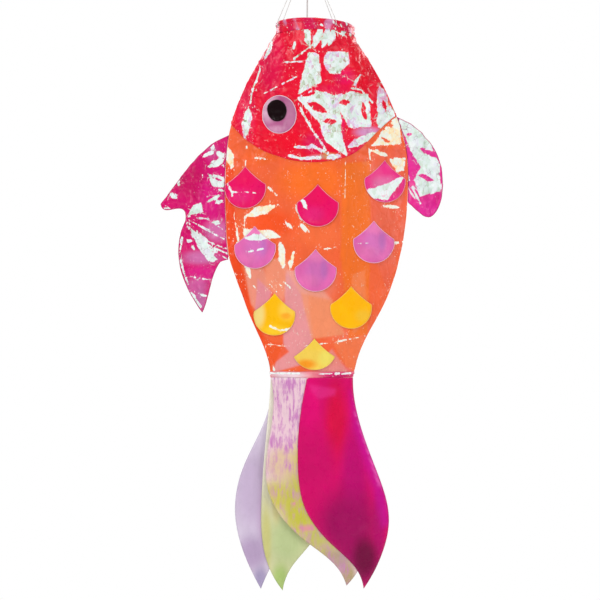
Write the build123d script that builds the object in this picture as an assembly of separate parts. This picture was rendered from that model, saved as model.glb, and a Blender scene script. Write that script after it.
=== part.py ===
from build123d import *
import math
import os

# Carp streamer, a film windsock shaped like a fish that hangs by its mouth. Sizes are in mm.
# The origin is the centre of the hanging eye's hole. +Z is up, +X is towards the belly, and
# the front face looks along -Y.

# Swivel: two eyes that turn in one barrel
EYE_HOLE_R = 5.0
EYE_OUTER_R = 8.0
EYE_THICK = 3.0
STEM_R = 1.0
STEM_CLEARANCE = 0.08
HEAD_R = 2.2
HEAD_THICK = 1.0
HEAD_CLEARANCE = 0.15
BARREL_R = 3.2
BARREL_BORE_R = 2.6
BARREL_TOP = -8.8
BARREL_BOTTOM = -15.2
BARREL_END = 0.8
LINE_EYE_R = 2.4
LINE_EYE_WIRE_R = 0.7
SWING_Z = -21.0  # the lowest point of the lower eye's wire, which the streamer swings on

# Bridle: a knot under the lower eye, and three lines doubled round the hoop
LINE_R = 0.5
KNOT_R = 3.3
KNOT_Z = -25.6
KNOT_LOOP_R = 1.6
RUN_SHARE = 0.45  # share of a route's shorter run that each of its arcs takes up
LINE_ROUTES = {
    "left_line": [(-1.6, -0.7, -28.1), (-43.0, -19.7, -128.3), (-37.0, -17.6, -131.0), (-0.5, -0.3, -28.6)],
    "right_line": [(1.2, -1.6, -27.9), (39.6, -49.7, -131.7), (36.9, -44.4, -135.0), (0.7, -0.7, -28.5)],
    "back_line": [(-0.1, 1.9, -28.0), (-1.0, 56.2, -130.0), (0.6, 50.3, -133.0), (0.1, 0.8, -28.5)],
}
LINE_AZIMUTHS = {"left_line": 200, "right_line": 300, "back_line": 102}

# Mouth: a wire hoop in a film casing with a short skirt, tilted a little towards the belly
HOOP_X = 10.8
HOOP_Z = -129.05
HOOP_TILT = 2.9
HOOP_R = 52.85
HOOP_WIRE_R = 1.4
FERRULE_R = 2.2
FERRULE_CLEARANCE = 0.02
FERRULE_ARC = 16
FERRULE_AZIMUTH = 60
CASING_BORE_R = 2.35
CASING_R = 2.75
SKIRT_DROP = 6.0
SKIRT_THICK = 1.0
LINE_HOLE_R = 1.4
LINE_HOLE_DROP = 3.8

# Film: every sheet has the same thickness, and the layers lie one over another
FILM = 0.5
LAYER_STEP = 0.85
SEAM_HALF_GAP = 0.15
BODY_LEVEL = 0
OVERLAY_LEVEL = 1
EYE_LEVEL = 2
PUPIL_LEVEL = 3
CURVE_STEPS = 14
TILT_FADE_Z = -233.0

# The body's levels: height, left seam, right seam, half depth, and the exponent of the bulge,
# which is 0.5 for an ellipse and over 1 where flat margins run beside a rounded middle
STATIONS = [
    (-135.7, -41.2, 62.8, 52.0, 0.50),
    (-148.0, -46.5, 67.6, 51.0, 0.53),
    (-165.0, -58.1, 79.3, 48.0, 0.62),
    (-185.0, -70.1, 91.7, 43.0, 0.78),
    (-207.0, -83.0, 103.8, 37.0, 0.95),
    (-233.0, -95.6, 115.4, 30.0, 1.12),
    (-262.0, -106.3, 127.6, 24.5, 1.22),
    (-300.0, -112.6, 138.0, 21.0, 1.20),
    (-350.0, -115.7, 140.8, 19.0, 1.10),
    (-400.0, -114.4, 138.0, 17.5, 1.00),
    (-450.0, -110.2, 129.6, 15.5, 0.95),
    (-490.0, -97.0, 118.4, 13.0, 0.92),
    (-530.0, -82.1, 101.0, 10.5, 0.90),
    (-565.0, -66.7, 81.7, 8.0, 0.88),
    (-600.0, -54.4, 68.0, 5.4, 0.86),
    (-620.3, -51.4, 62.5, 4.2, 0.85),
]
GILL_EDGE = [(-116, -250), (-85, -288), (-53, -308), (-10, -319), (28, -319), (53, -313.5), (100, -274), (136, -246)]
TAIL_HEM_TOP = -612.0

# Eye discs: centre, half width, half height and lean
EYE_DISC = (-39.3, -254.0, 23.9, 26.3, 8.0)
PUPIL = (-42.3, -248.5, 13.5, 15.0, 8.0)

# Scales: the top point of each, and the shape they share
SCALE_TOPS = [
    (-87.0, -324.7),
    (14.2, -350.6),
    (108.0, -316.2),
    (-73.4, -408.5),
    (11.0, -440.7),
    (92.2, -401.0),
    (-46.1, -502.1),
    (60.8, -492.4),
    (9.4, -565.4),
]
SCALE_HALF_WIDTH = 28.8
SCALE_SHOULDER = 25.5
SCALE_DROP = 59.0
SCALE_HOLLOW = 1.6  # how far each upper edge curves in from a straight line
LAST_SCALE_DROP = 44.0

# Fins: outline points from the top of the seam round to its foot, and the seam edge itself
DORSAL_TOP_EDGE = [(-115.2, -280), (-149.5, -306), (-185, -348), (-206, -377)]
DORSAL_NOTCH_EDGE = [(-206, -377), (-201, -385), (-180, -383.5), (-171.3, -400.7)]
DORSAL_OUTER_EDGE = [(-171.3, -400.7), (-181.4, -446), (-170, -492), (-147.7, -529.3)]
DORSAL_LOWER_EDGE = [(-147.7, -529.3), (-136, -491), (-124, -461), (-114.0, -450.5)]
DORSAL_SEAM_EDGE = [(-114.0, -450.5), (-117.4, -390), (-117.6, -340), (-115.2, -280)]
BELLY_OUTER_EDGE = [(131, -254), (156, -273), (181, -304), (190.2, -345), (184, -382), (173.4, -396.5)]
BELLY_LOWER_EDGE = [(173.4, -396.5), (158, -386), (142.6, -371)]
BELLY_SEAM_EDGE = [(142.6, -371), (142.2, -340), (138.6, -290), (131, -254)]

# Tail films: the plane each hangs in, its left edge and its right edge, both from top to tip
TAIL_TOP = -621.5
TAIL_INNER_Y = 4.85
TAIL_OUTER_Y = 5.95
TAIL_FILMS = {
    "tail_magenta": (
        -TAIL_OUTER_Y,
        [(-0.8, TAIL_TOP), (-10, -673), (-13.5, -746), (-4, -802), (38.6, -858), (66.7, -886), (78.6, -916)],
        [(63.6, TAIL_TOP), (71, -676), (95, -746), (114, -820), (105, -865), (78.6, -916)],
    ),
    "tail_yellow": (
        -TAIL_INNER_Y,
        [(-51.8, TAIL_TOP), (-52.5, -700), (-57, -770), (-43, -806), (5, -855), (36, -880), (54.6, -911.7)],
        [(30, TAIL_TOP), (45, -700), (78, -790), (84, -850), (54.6, -911.7)],
    ),
    "tail_green": (
        TAIL_INNER_Y,
        [(-51.6, TAIL_TOP), (-58, -700), (-65, -800), (-61, -865), (-34.8, -920.2)],
        [(10, TAIL_TOP), (22, -700), (30, -790), (4, -855), (-20, -884), (-34.8, -920.2)],
    ),
    "tail_lavender": (
        TAIL_OUTER_Y,
        [(-52, TAIL_TOP), (-59.7, -680), (-92, -751), (-102, -810), (-88, -872), (-65.5, -918.5)],
        [(14, TAIL_TOP), (4, -700), (0, -790), (-30, -850), (-52, -888), (-65.5, -918.5)],
    ),
}
CUT_DEPTH = 80.0


def on_face(x, z):
    """A point of the flat pattern, in the plane of the side seams."""
    return Vector(x, 0, z)


def spline(points):
    return Edge.make_spline([on_face(x, z) for x, z in points])


def flat_face(edges):
    return Face(Wire(edges))


def cutter(edges):
    """A prism that trims a film layer to an outline, through the whole depth."""
    return extrude(flat_face(edges), CUT_DEPTH, both=True)


def plate(edges, y=0.0):
    """A flat sheet of film hanging in one plane."""
    return Pos(0, y, 0) * extrude(flat_face(edges), FILM / 2, both=True)


def hoop_place():
    """The hoop's plane and centre."""
    return Pos(HOOP_X, 0, HOOP_Z) * Rot(0, HOOP_TILT, 0)


def film_curve(station, offset, side):
    """One level of a panel, from the left seam to the right one, a distance outside the bare body."""
    z, left, right, depth, fullness = station
    middle = (left + right) / 2
    half_width = (right - left) / 2
    curve = []
    for step in range(CURVE_STEPS + 1):
        turn = math.pi * step / CURVE_STEPS
        bulge = depth * math.sin(turn) ** (2 * fullness) if 0 < step < CURVE_STEPS else 0.0
        curve.append((middle - half_width * math.cos(turn), bulge))
    tilt_share = max(0.0, (z - TILT_FADE_Z) / (STATIONS[0][0] - TILT_FADE_Z))
    slope = math.tan(math.radians(HOOP_TILT * tilt_share))
    points = []
    for step, (x, bulge) in enumerate(curve):
        before = curve[max(step - 1, 0)]
        after = curve[min(step + 1, CURVE_STEPS)]
        run = math.hypot(after[0] - before[0], after[1] - before[1])
        out_x = x - offset * (after[1] - before[1]) / run
        out_y = bulge + offset * (after[0] - before[0]) / run
        points.append(Vector(out_x, side * (out_y + SEAM_HALF_GAP), z - slope * (out_x - HOOP_X)))
    return points


def film_layer(side, level):
    """A whole panel of film at one layer, lofted down the body."""
    inner = level * LAYER_STEP
    rings = []
    for station in STATIONS:
        near = film_curve(station, inner, side)
        far = film_curve(station, inner + FILM, side)
        edges = [
            Edge.make_spline(near),
            Edge.make_line(near[-1], far[-1]),
            Edge.make_spline(far[::-1]),
            Edge.make_line(far[0], near[0]),
        ]
        rings.append(Wire(edges))
    return Solid.make_loft(rings)


def hanging_eye():
    ring = extrude(Plane.XZ * (Circle(EYE_OUTER_R) - Circle(EYE_HOLE_R)), EYE_THICK / 2, both=True)
    head_top = BARREL_TOP - BARREL_END - HEAD_CLEARANCE
    stem_top = -EYE_OUTER_R + EYE_THICK / 4
    stem = Pos(0, 0, head_top) * Cylinder(STEM_R, stem_top - head_top, align=(Align.CENTER, Align.CENTER, Align.MIN))
    head = Pos(0, 0, head_top) * Cylinder(HEAD_R, HEAD_THICK, align=(Align.CENTER, Align.CENTER, Align.MAX))
    return ring + stem + head


def swivel_barrel():
    height = BARREL_TOP - BARREL_BOTTOM
    middle = (BARREL_TOP + BARREL_BOTTOM) / 2
    shell = Cylinder(BARREL_R, height)
    shell = chamfer(shell.edges().filter_by(GeomType.CIRCLE), BARREL_END / 2)
    hollow = Cylinder(BARREL_BORE_R, height - 2 * BARREL_END)
    return Pos(0, 0, middle) * (shell - hollow - Cylinder(STEM_R + STEM_CLEARANCE, height))


def line_eye():
    head_bottom = BARREL_BOTTOM + BARREL_END + HEAD_CLEARANCE
    stem_bottom = SWING_Z + 2 * LINE_EYE_R
    stem = Pos(0, 0, stem_bottom) * Cylinder(
        STEM_R, head_bottom - stem_bottom, align=(Align.CENTER, Align.CENTER, Align.MIN)
    )
    head = Pos(0, 0, head_bottom) * Cylinder(HEAD_R, HEAD_THICK, align=(Align.CENTER, Align.CENTER, Align.MIN))
    ring = Pos(0, 0, SWING_Z + LINE_EYE_R) * Rot(0, 90, 0) * Torus(LINE_EYE_R, LINE_EYE_WIRE_R)
    return ring + stem + head


def bridle_knot():
    loop = Pos(0, 0, SWING_Z) * Rot(90, 0, 0) * Torus(KNOT_LOOP_R, LINE_R)
    return loop + Pos(0, 0, KNOT_Z) * Sphere(KNOT_R)


def bridle_line(name):
    """A cord from the knot, under the hoop's casing and back to the knot."""
    route = [Vector(*point) for point in LINE_ROUTES[name]]
    runs = [b - a for a, b in zip(route, route[1:])]
    radii = []
    for before, after in zip(runs, runs[1:]):
        half_turn = math.radians(before.get_angle(after)) / 2
        radii.append(RUN_SHARE * min(before.length, after.length) / math.tan(half_turn))
    path = FilletPolyline(*route, radius=radii)
    line = sweep(Plane(path @ 0, z_dir=path % 0) * Circle(LINE_R), path)
    expected = math.pi * LINE_R**2 * path.length
    print(name, "radii", [round(r, 2) for r in radii], "length", round(path.length, 1))
    print(name, "volume", round(line.volume, 2), "section times length", round(expected, 2))
    return line


def hoop_wire():
    return hoop_place() * Torus(HOOP_R, HOOP_WIRE_R)


def hoop_ferrule():
    """A curved sleeve over the joint between the two ends of the wire."""
    sleeve = Circle(FERRULE_R) - Circle(HOOP_WIRE_R + FERRULE_CLEARANCE)
    arc = revolve(Plane.XZ * Pos(HOOP_R, 0, 0) * sleeve, Axis.Z, FERRULE_ARC)
    return hoop_place() * Rot(0, 0, FERRULE_AZIMUTH) * arc


def mouth_hem():
    """The film casing round the wire, with its skirt and a hole for each line."""
    skirt = Pos(HOOP_R, -SKIRT_DROP / 2) * Rectangle(SKIRT_THICK, SKIRT_DROP)
    profile = Pos(HOOP_R, 0) * Circle(CASING_R) + skirt - Pos(HOOP_R, 0) * Circle(CASING_BORE_R)
    hem = revolve(Plane.XZ * profile, Axis.Z, 360)
    for azimuth in LINE_AZIMUTHS.values():
        punch = Pos(HOOP_R, 0, -LINE_HOLE_DROP) * Rot(0, 90, 0) * Cylinder(LINE_HOLE_R, 4 * SKIRT_THICK)
        hem -= Rot(0, 0, azimuth) * punch
    return hoop_place() * hem


def head_cutter():
    """Everything above the curved gill edge."""
    left, right = GILL_EDGE[0], GILL_EDGE[-1]
    top = HOOP_Z
    sides = [
        Edge.make_line(on_face(*right), on_face(right[0], top)),
        Edge.make_line(on_face(right[0], top), on_face(left[0], top)),
        Edge.make_line(on_face(left[0], top), on_face(*left)),
    ]
    return cutter([spline(GILL_EDGE), *sides])


def oval_cutter(x, z, half_width, half_height, lean):
    oval = Plane.XZ * Pos(x, z) * Rot(0, 0, lean) * Ellipse(half_width, half_height)
    return extrude(oval, CUT_DEPTH, both=True)


def scale_cutter(top, drop):
    """A shield: two hollow upper edges from a point, and one round lower edge."""
    x, z = top
    shoulder_z = z - SCALE_SHOULDER
    peak = on_face(x, z)
    bottom = on_face(x, z - drop)
    corners = [on_face(x + side * SCALE_HALF_WIDTH, shoulder_z) for side in (1, -1)]
    upper = []
    for corner in corners:
        inward = Vector(peak.X - corner.X, 0, -SCALE_HALF_WIDTH).normalized() * SCALE_HOLLOW
        upper.append(Edge.make_three_point_arc(peak, (peak + corner) * 0.5 + inward, corner))
    return cutter([*upper, Edge.make_three_point_arc(corners[0], bottom, corners[1])])


def dorsal_fin():
    edges = [DORSAL_TOP_EDGE, DORSAL_NOTCH_EDGE, DORSAL_OUTER_EDGE, DORSAL_LOWER_EDGE, DORSAL_SEAM_EDGE]
    return plate([spline(points) for points in edges])


def belly_fin():
    return plate([spline(points) for points in (BELLY_OUTER_EDGE, BELLY_LOWER_EDGE, BELLY_SEAM_EDGE)])


def tail_film(name):
    y, left, right = TAIL_FILMS[name]
    top = Edge.make_line(on_face(*left[0]), on_face(*right[0]))
    return plate([spline(left), spline(right), top], y)


def face_parts(side, name):
    """Everything on one face of the fish, front or back."""
    overlay = film_layer(side, OVERLAY_LEVEL)
    parts = {f"body_{name}": film_layer(side, BODY_LEVEL)}
    parts[f"head_{name}"] = overlay & head_cutter()
    parts[f"eye_{name}"] = film_layer(side, EYE_LEVEL) & oval_cutter(*EYE_DISC)
    parts[f"pupil_{name}"] = film_layer(side, PUPIL_LEVEL) & oval_cutter(*PUPIL)
    for number, top in enumerate(SCALE_TOPS, start=1):
        drop = SCALE_DROP if number < len(SCALE_TOPS) else LAST_SCALE_DROP
        parts[f"scale_{name}_{number}"] = overlay & scale_cutter(top, drop)
    hem_box = Pos(0, 0, TAIL_HEM_TOP) * Box(
        4 * CUT_DEPTH, CUT_DEPTH, CUT_DEPTH, align=(Align.CENTER, Align.CENTER, Align.MAX)
    )
    parts[f"tail_hem_{name}"] = overlay & hem_box
    return parts


def all_parts():
    parts = {
        "hanging_eye": hanging_eye(),
        "swivel_barrel": swivel_barrel(),
        "line_eye": line_eye(),
        "bridle_knot": bridle_knot(),
        "hoop_wire": hoop_wire(),
        "hoop_ferrule": hoop_ferrule(),
        "mouth_hem": mouth_hem(),
        "dorsal_fin": dorsal_fin(),
        "belly_fin": belly_fin(),
    }
    for name in LINE_ROUTES:
        parts[name] = bridle_line(name)
    for name in TAIL_FILMS:
        parts[name] = tail_film(name)
    for side, name in ((-1, "front"), (1, "back")):
        parts.update(face_parts(side, name))
    return parts


os.makedirs("parts", exist_ok=True)
for node, solid in all_parts().items():
    export_step(solid, f"parts/{node}.step")
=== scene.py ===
"""Carp streamer: the visual model of a film windsock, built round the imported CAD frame."""

import math

import bpy
import numpy as np
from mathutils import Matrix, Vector, geometry
from mathutils.bvhtree import BVHTree


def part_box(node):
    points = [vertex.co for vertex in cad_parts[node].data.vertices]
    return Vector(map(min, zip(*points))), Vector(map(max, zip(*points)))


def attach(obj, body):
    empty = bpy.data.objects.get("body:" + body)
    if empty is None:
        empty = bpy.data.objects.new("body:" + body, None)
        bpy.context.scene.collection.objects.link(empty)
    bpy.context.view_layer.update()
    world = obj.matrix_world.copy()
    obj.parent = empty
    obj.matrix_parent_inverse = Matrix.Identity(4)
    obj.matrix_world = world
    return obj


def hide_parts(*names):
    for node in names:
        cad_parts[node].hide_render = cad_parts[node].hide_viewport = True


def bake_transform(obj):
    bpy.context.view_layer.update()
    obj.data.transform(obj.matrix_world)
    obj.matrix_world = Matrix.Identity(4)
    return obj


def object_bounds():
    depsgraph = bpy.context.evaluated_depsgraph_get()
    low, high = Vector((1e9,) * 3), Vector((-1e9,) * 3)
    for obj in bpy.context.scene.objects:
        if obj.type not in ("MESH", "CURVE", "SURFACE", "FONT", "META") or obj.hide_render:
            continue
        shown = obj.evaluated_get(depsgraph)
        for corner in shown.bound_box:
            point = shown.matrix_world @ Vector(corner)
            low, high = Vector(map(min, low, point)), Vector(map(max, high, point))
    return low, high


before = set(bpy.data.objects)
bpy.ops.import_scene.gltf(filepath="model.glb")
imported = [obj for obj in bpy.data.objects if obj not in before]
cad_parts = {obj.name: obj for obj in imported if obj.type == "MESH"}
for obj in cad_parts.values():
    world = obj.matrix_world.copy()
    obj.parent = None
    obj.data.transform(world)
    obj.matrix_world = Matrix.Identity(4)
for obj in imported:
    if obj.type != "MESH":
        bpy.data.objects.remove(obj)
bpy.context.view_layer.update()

MM = 0.001
FRONT, BACK = -1, 1             # the sign of y on each side
SIDE_NAMES = {FRONT: "front", BACK: "back"}
FILM_THICK = 0.22
SEAM_GAP = 0.15                 # the two faces stay this far off the middle at the seams
HAIR = 0.02                     # a distance too small to matter
WHITE = (1.0, 1.0, 1.0, 1.0)


# ---------------------------------------------------------------- camera, lights and world

CAMERA_LENS = 80.34             # millimetres, as is the sensor's width
CAMERA_SENSOR = 36.0
CAMERA_PLACE = (-0.0105, -1.88, -0.5116)
CAMERA_TARGET = (-0.0105, 0.0, -0.5116)
LIGHTS_TARGET = (0.0, 0.0, -0.45)
LIGHTS = {                      # each softbox's place, its width and height, and its power in watts
    "key_softbox": ((-2.0, -1.5, 0.5), (0.9, 1.5), 30),
    "fill_softbox": ((1.6, -1.7, -0.15), (0.8, 1.6), 18),
    "front_softbox": ((0.0, -2.6, 0.9), (1.6, 0.6), 11),
    "top_softbox": ((0.1, 0.1, 1.5), (1.6, 1.6), 16),
    "rear_left_softbox": ((-1.5, 1.9, 0.3), (0.9, 1.5), 22),
    "rear_right_softbox": ((1.5, 1.8, 0.0), (0.9, 1.5), 21),
}
ROOM_LIGHT = 0.34               # the world's strength on the object


def add_object(name, data):
    """Puts a new object in the scene."""
    obj = bpy.data.objects.new(name, data)
    bpy.context.scene.collection.objects.link(obj)
    return obj


def look_from(obj, place, target):
    """Puts obj at place, facing target."""
    obj.location = place
    obj.rotation_mode = "QUATERNION"
    obj.rotation_quaternion = (Vector(target) - Vector(place)).to_track_quat("-Z", "Y")


def add_camera():
    """The camera, straight in front of the fish."""
    data = bpy.data.cameras.new("camera")
    data.lens = CAMERA_LENS
    data.sensor_width = CAMERA_SENSOR
    camera = add_object("camera", data)
    look_from(camera, CAMERA_PLACE, CAMERA_TARGET)
    bpy.context.scene.camera = camera


def add_softbox(name, place, size, power):
    """A rectangular light that the camera doesn't see."""
    data = bpy.data.lights.new(name, "AREA")
    data.shape = "RECTANGLE"
    data.size, data.size_y = size
    data.energy = power
    light = add_object(name, data)
    look_from(light, place, LIGHTS_TARGET)
    light.visible_camera = False


class Graph:
    """A node tree, with short calls to add nodes and to fill their inputs."""

    def __init__(self, tree):
        self.nodes, self.links = tree.nodes, tree.links

    def put(self, socket, value):
        """Gives an input its value, which may be another node's output."""
        if isinstance(value, bpy.types.NodeSocket):
            self.links.new(value, socket)
        else:
            socket.default_value = value

    def fill(self, node, values):
        """Fills a node's inputs by name, with underscores for the names' spaces."""
        for key, value in values.items():
            self.put(node.inputs[key.replace("_", " ")], value)
        return node

    def add(self, kind, **values):
        """A new node of a kind, with its inputs filled."""
        return self.fill(self.nodes.new("ShaderNode" + kind), values)


def add_world():
    """White behind the object for the camera, and a dimmer even light on it."""
    world = bpy.data.worlds.new("studio")
    bpy.context.scene.world = world
    world.use_nodes = True
    graph = Graph(world.node_tree)
    graph.nodes.clear()
    lighting = graph.add("Background", Strength=ROOM_LIGHT, Color=WHITE)
    seen = graph.add("Background", Strength=1.0, Color=WHITE)
    mix = graph.add("MixShader", Fac=graph.add("LightPath").outputs["Is Camera Ray"])
    graph.put(mix.inputs[1], lighting.outputs[0])
    graph.put(mix.inputs[2], seen.outputs[0])
    graph.add("OutputWorld", Surface=mix.outputs[0])


bpy.context.scene.view_settings.view_transform = "Standard"
add_camera()
for light_name, light in LIGHTS.items():
    add_softbox(light_name, *light)
add_world()


# ---------------------------------------------------------------- mesh helpers, in millimetres

def mesh_piece(name, points, faces, attributes):
    """A mesh object from points in millimetres, with a float or vector attribute for each name given."""
    mesh = bpy.data.meshes.new(name)
    mesh.from_pydata((np.asarray(points) * MM).tolist(), [], [list(map(int, f)) for f in faces])
    for key, values in attributes.items():
        values = np.asarray(values, np.float32)
        if values.ndim == 1:
            mesh.attributes.new(key, "FLOAT", "POINT").data.foreach_set("value", values)
        else:
            mesh.attributes.new(key, "FLOAT_VECTOR", "POINT").data.foreach_set("vector", values.ravel())
    mesh.polygons.foreach_set("use_smooth", [True] * len(mesh.polygons))
    mesh.update()
    return add_object(name, mesh)


def grid_faces(rows, columns):
    """The quads of a grid of points, row by row."""
    first = (np.arange(rows - 1)[:, None] * columns + np.arange(columns - 1)[None, :]).ravel()
    return np.stack([first, first + 1, first + columns + 1, first + columns], axis=1)


def ring_faces(rows, around):
    """The quads between rows of points that each run round in a ring."""
    first = np.arange((rows - 1) * around)
    beside = first - first % around + (first + 1) % around
    return np.stack([first, beside, beside + around, first + around], axis=1)


def tube_faces(rings, around, closed):
    """The faces of a tube, which either closes on itself or has a cap at each end."""
    faces = (ring_faces(rings + closed, around) % (rings * around)).tolist()
    if not closed:
        faces.append(list(reversed(range(around))))
        faces.append([(rings - 1) * around + turn for turn in range(around)])
    return faces


def joined(parts):
    """Several lists of points and faces as one."""
    points, faces = [], []
    for more, their_faces in parts:
        base = len(points)
        points.extend(more)
        faces.extend([[index + base for index in face] for face in their_faces])
    return np.array(points), faces


def border_of(faces):
    """The edges that only one face has, each in its face's direction."""
    seen = {}
    for face in faces:
        for a, b in zip(face, np.roll(face, -1)):
            key = (min(a, b), max(a, b))
            seen[key] = None if key in seen else (int(a), int(b))
    return [edge for edge in seen.values() if edge]


def film_piece(name, points, normals, faces, attributes):
    """A closed thin sheet: points are its outer surface, and normals say which way is out."""
    points, normals = np.asarray(points, float), np.asarray(normals, float)
    count = len(points)
    both = np.concatenate([points, points - normals * FILM_THICK])
    a, b, c = (points[faces[:, i]] for i in range(3))
    facing = np.einsum("ij,ij->i", np.cross(b - a, c - a), normals[faces[:, 0]])
    if facing.sum() < 0:
        faces = faces[:, ::-1]
    rim = [(b, a, a + count, b + count) for a, b in border_of(faces)]
    all_faces = [*faces.tolist(), *(faces[:, ::-1] + count).tolist(), *rim]
    doubled = {key: np.concatenate([value, value]) for key, value in attributes.items()}
    return mesh_piece(name, both, all_faces, doubled)


def node_arrays(name):
    """A CAD node's points in millimetres and its triangles."""
    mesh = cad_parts[name].data
    points = np.empty(len(mesh.vertices) * 3)
    mesh.vertices.foreach_get("co", points)
    mesh.calc_loop_triangles()
    triangles = np.empty(len(mesh.loop_triangles) * 3, np.int64)
    mesh.loop_triangles.foreach_get("vertices", triangles)
    return points.reshape(-1, 3) / MM, triangles.reshape(-1, 3)


def node_box(name):
    """The low and high corners of a CAD node, in millimetres."""
    return [np.array(corner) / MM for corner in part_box(name)]


def node_tree(name):
    """A CAD node as a tree that rays can be cast at."""
    points, triangles = node_arrays(name)
    return BVHTree.FromPolygons(points.tolist(), triangles.tolist())


RAY_START = 400.0               # a ray towards one side starts this far out


def first_hit(tree, side, x, z):
    """Where a level ray from one side meets a tree, if it does."""
    return tree.ray_cast(Vector((x, RAY_START * side, z)), Vector((0.0, -side, 0.0)))[0]


def crossing(points, triangles, height):
    """Where the triangles' edges cross a level height."""
    a = points[triangles.ravel()]
    b = points[triangles[:, [1, 2, 0]].ravel()]
    cut = (a[:, 2] - height) * (b[:, 2] - height) < 0
    a, b = a[cut], b[cut]
    share = (height - a[:, 2]) / (b[:, 2] - a[:, 2])
    return a + share[:, None] * (b - a)


def smooth_step(values, low, high):
    """A smooth rise from 0 at low to 1 at high."""
    t = np.clip((np.asarray(values, float) - low) / (high - low), 0.0, 1.0)
    return t * t * (3.0 - 2.0 * t)


def grid_normals(points):
    """Unit normals of a grid of points."""
    along = np.gradient(points, axis=1)
    down = np.gradient(points, axis=0)
    normals = np.cross(along, down)
    return normals / np.maximum(np.linalg.norm(normals, axis=-1, keepdims=True), 1e-9)


def sample_grid(values, row, column):
    """Vectors between the points of a grid, at fractional rows and columns."""
    row = np.clip(row, 0, values.shape[0] - 1.001)
    column = np.clip(column, 0, values.shape[1] - 1.001)
    r, c = row.astype(int), column.astype(int)
    fr, fc = (row - r)[..., None], (column - c)[..., None]
    upper = values[r, c] * (1 - fc) + values[r, c + 1] * fc
    lower = values[r + 1, c] * (1 - fc) + values[r + 1, c + 1] * fc
    return upper * (1 - fr) + lower * fr


# ---------------------------------------------------------------- creases

def crease_field(x, z, seed, count, box, length, width, height):
    """Sharp little folds scattered over a box, added up at the points x, z."""
    rng = np.random.default_rng(seed)
    total = np.zeros_like(x)
    for _ in range(count):
        cx, cz = rng.uniform(box[0], box[1]), rng.uniform(box[2], box[3])
        turn = rng.uniform(0, math.pi)
        long = rng.uniform(*length)
        wide = rng.uniform(*width)
        high = rng.uniform(*height) * rng.choice([-1.0, 1.0])
        lean = rng.uniform(0.25, 0.75)
        u = (x - cx) * math.cos(turn) + (z - cz) * math.sin(turn)
        v = -(x - cx) * math.sin(turn) + (z - cz) * math.cos(turn)
        near = (np.abs(u) < long) & (np.abs(v) < wide)
        if not near.any():
            continue
        taper = 1 - (u[near] / long) ** 2
        reach = wide * taper
        t = np.clip(v[near] / np.maximum(reach, 1e-6), -1, 1) * 0.5 + 0.5
        tent = np.minimum(t / lean, (1 - t) / (1 - lean))
        total[near] += high * taper * tent
    return total


WAVES = 6


def soft_waves(x, z, seed, lengths):
    """Smooth undulation, between -1 and 1."""
    rng = np.random.default_rng(seed)
    total = np.zeros_like(x)
    for _ in range(WAVES):
        turn = rng.uniform(0, math.pi)
        wave = rng.uniform(*lengths)
        phase = rng.uniform(0, 2 * math.pi)
        total += np.sin(2 * math.pi * (x * math.cos(turn) + z * math.sin(turn)) / wave + phase)
    return total / WAVES


# ---------------------------------------------------------------- materials

def rgb(red, green, blue):
    """A screen colour, each part 0 to 255, as Blender's linear colour."""
    parts = [part / 255 for part in (red, green, blue)]
    return (*(p / 12.92 if p <= 0.04045 else ((p + 0.055) / 1.055) ** 2.4 for p in parts), 1.0)


class Paint(Graph):
    """A material's nodes."""

    def __init__(self, name):
        self.material = bpy.data.materials.new(name)
        self.material.use_nodes = True
        super().__init__(self.material.node_tree)
        self.shader = self.nodes["Principled BSDF"]

    def set(self, **values):
        self.fill(self.shader, values)

    def attribute(self, name, output="Fac"):
        """A value that the mesh holds at each point."""
        node = self.add("Attribute")
        node.attribute_name = name
        return node.outputs[output]

    def flat_place(self, stretch, turned=(0.0, 0.0, 0.0)):
        """The place that a sheet's points hold for its textures, stretched and turned."""
        place = self.attribute("place", "Vector")
        return self.add("Mapping", Vector=place, Scale=stretch, Rotation=turned).outputs[0]

    def object_place(self):
        """Where each point is in the object, in metres."""
        return self.add("TexCoord").outputs["Object"]

    def noise(self, scale, detail=3.0, roughness=0.55, distortion=0.0, stretch=(1, 1, 1)):
        node = self.add("TexNoise", Vector=self.flat_place(stretch), Scale=scale, Detail=detail,
                        Roughness=roughness, Distortion=distortion)
        return node.outputs["Fac"]

    def math(self, operation, total, *others):
        """Joins values by an operation, from left to right."""
        for other in others:
            node = self.add("Math")
            node.operation = operation
            self.put(node.inputs[0], total)
            self.put(node.inputs[1], other)
            total = node.outputs[0]
        return total

    def plus(self, *values):
        return self.math("ADD", *values)

    def times(self, *values):
        return self.math("MULTIPLY", *values)

    def span(self, value, low, high, to_low=0.0, to_high=1.0):
        """Value taken from between low and high to between to_low and to_high, and held there."""
        node = self.add("MapRange", Value=value, From_Min=low, From_Max=high, To_Min=to_low, To_Max=to_high)
        return node.outputs["Result"]

    def ramp(self, value, stops):
        """A colour for a value, from stops of a value and a screen colour."""
        node = self.add("ValToRGB", Fac=value)
        elements = node.color_ramp.elements
        while len(elements) < len(stops):
            elements.new(0.5)
        for element, (place, colour) in zip(elements, stops):
            element.position = place
            element.color = rgb(*colour)
        return node.outputs["Color"]

    def mix(self, factor, a, b, kind="MIX"):
        """Colour a, blended to b as factor goes to 1."""
        node = self.add("Mix")
        node.data_type = "RGBA"
        node.blend_type = kind
        self.put(node.inputs["Factor"], factor)
        self.put(node.inputs[6], a)
        self.put(node.inputs[7], b)
        return node.outputs[2]

    def bump(self, height, strength, distance, **below):
        node = self.add("Bump", Height=height, Strength=strength, Distance=distance, **below)
        return node.outputs["Normal"]


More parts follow.
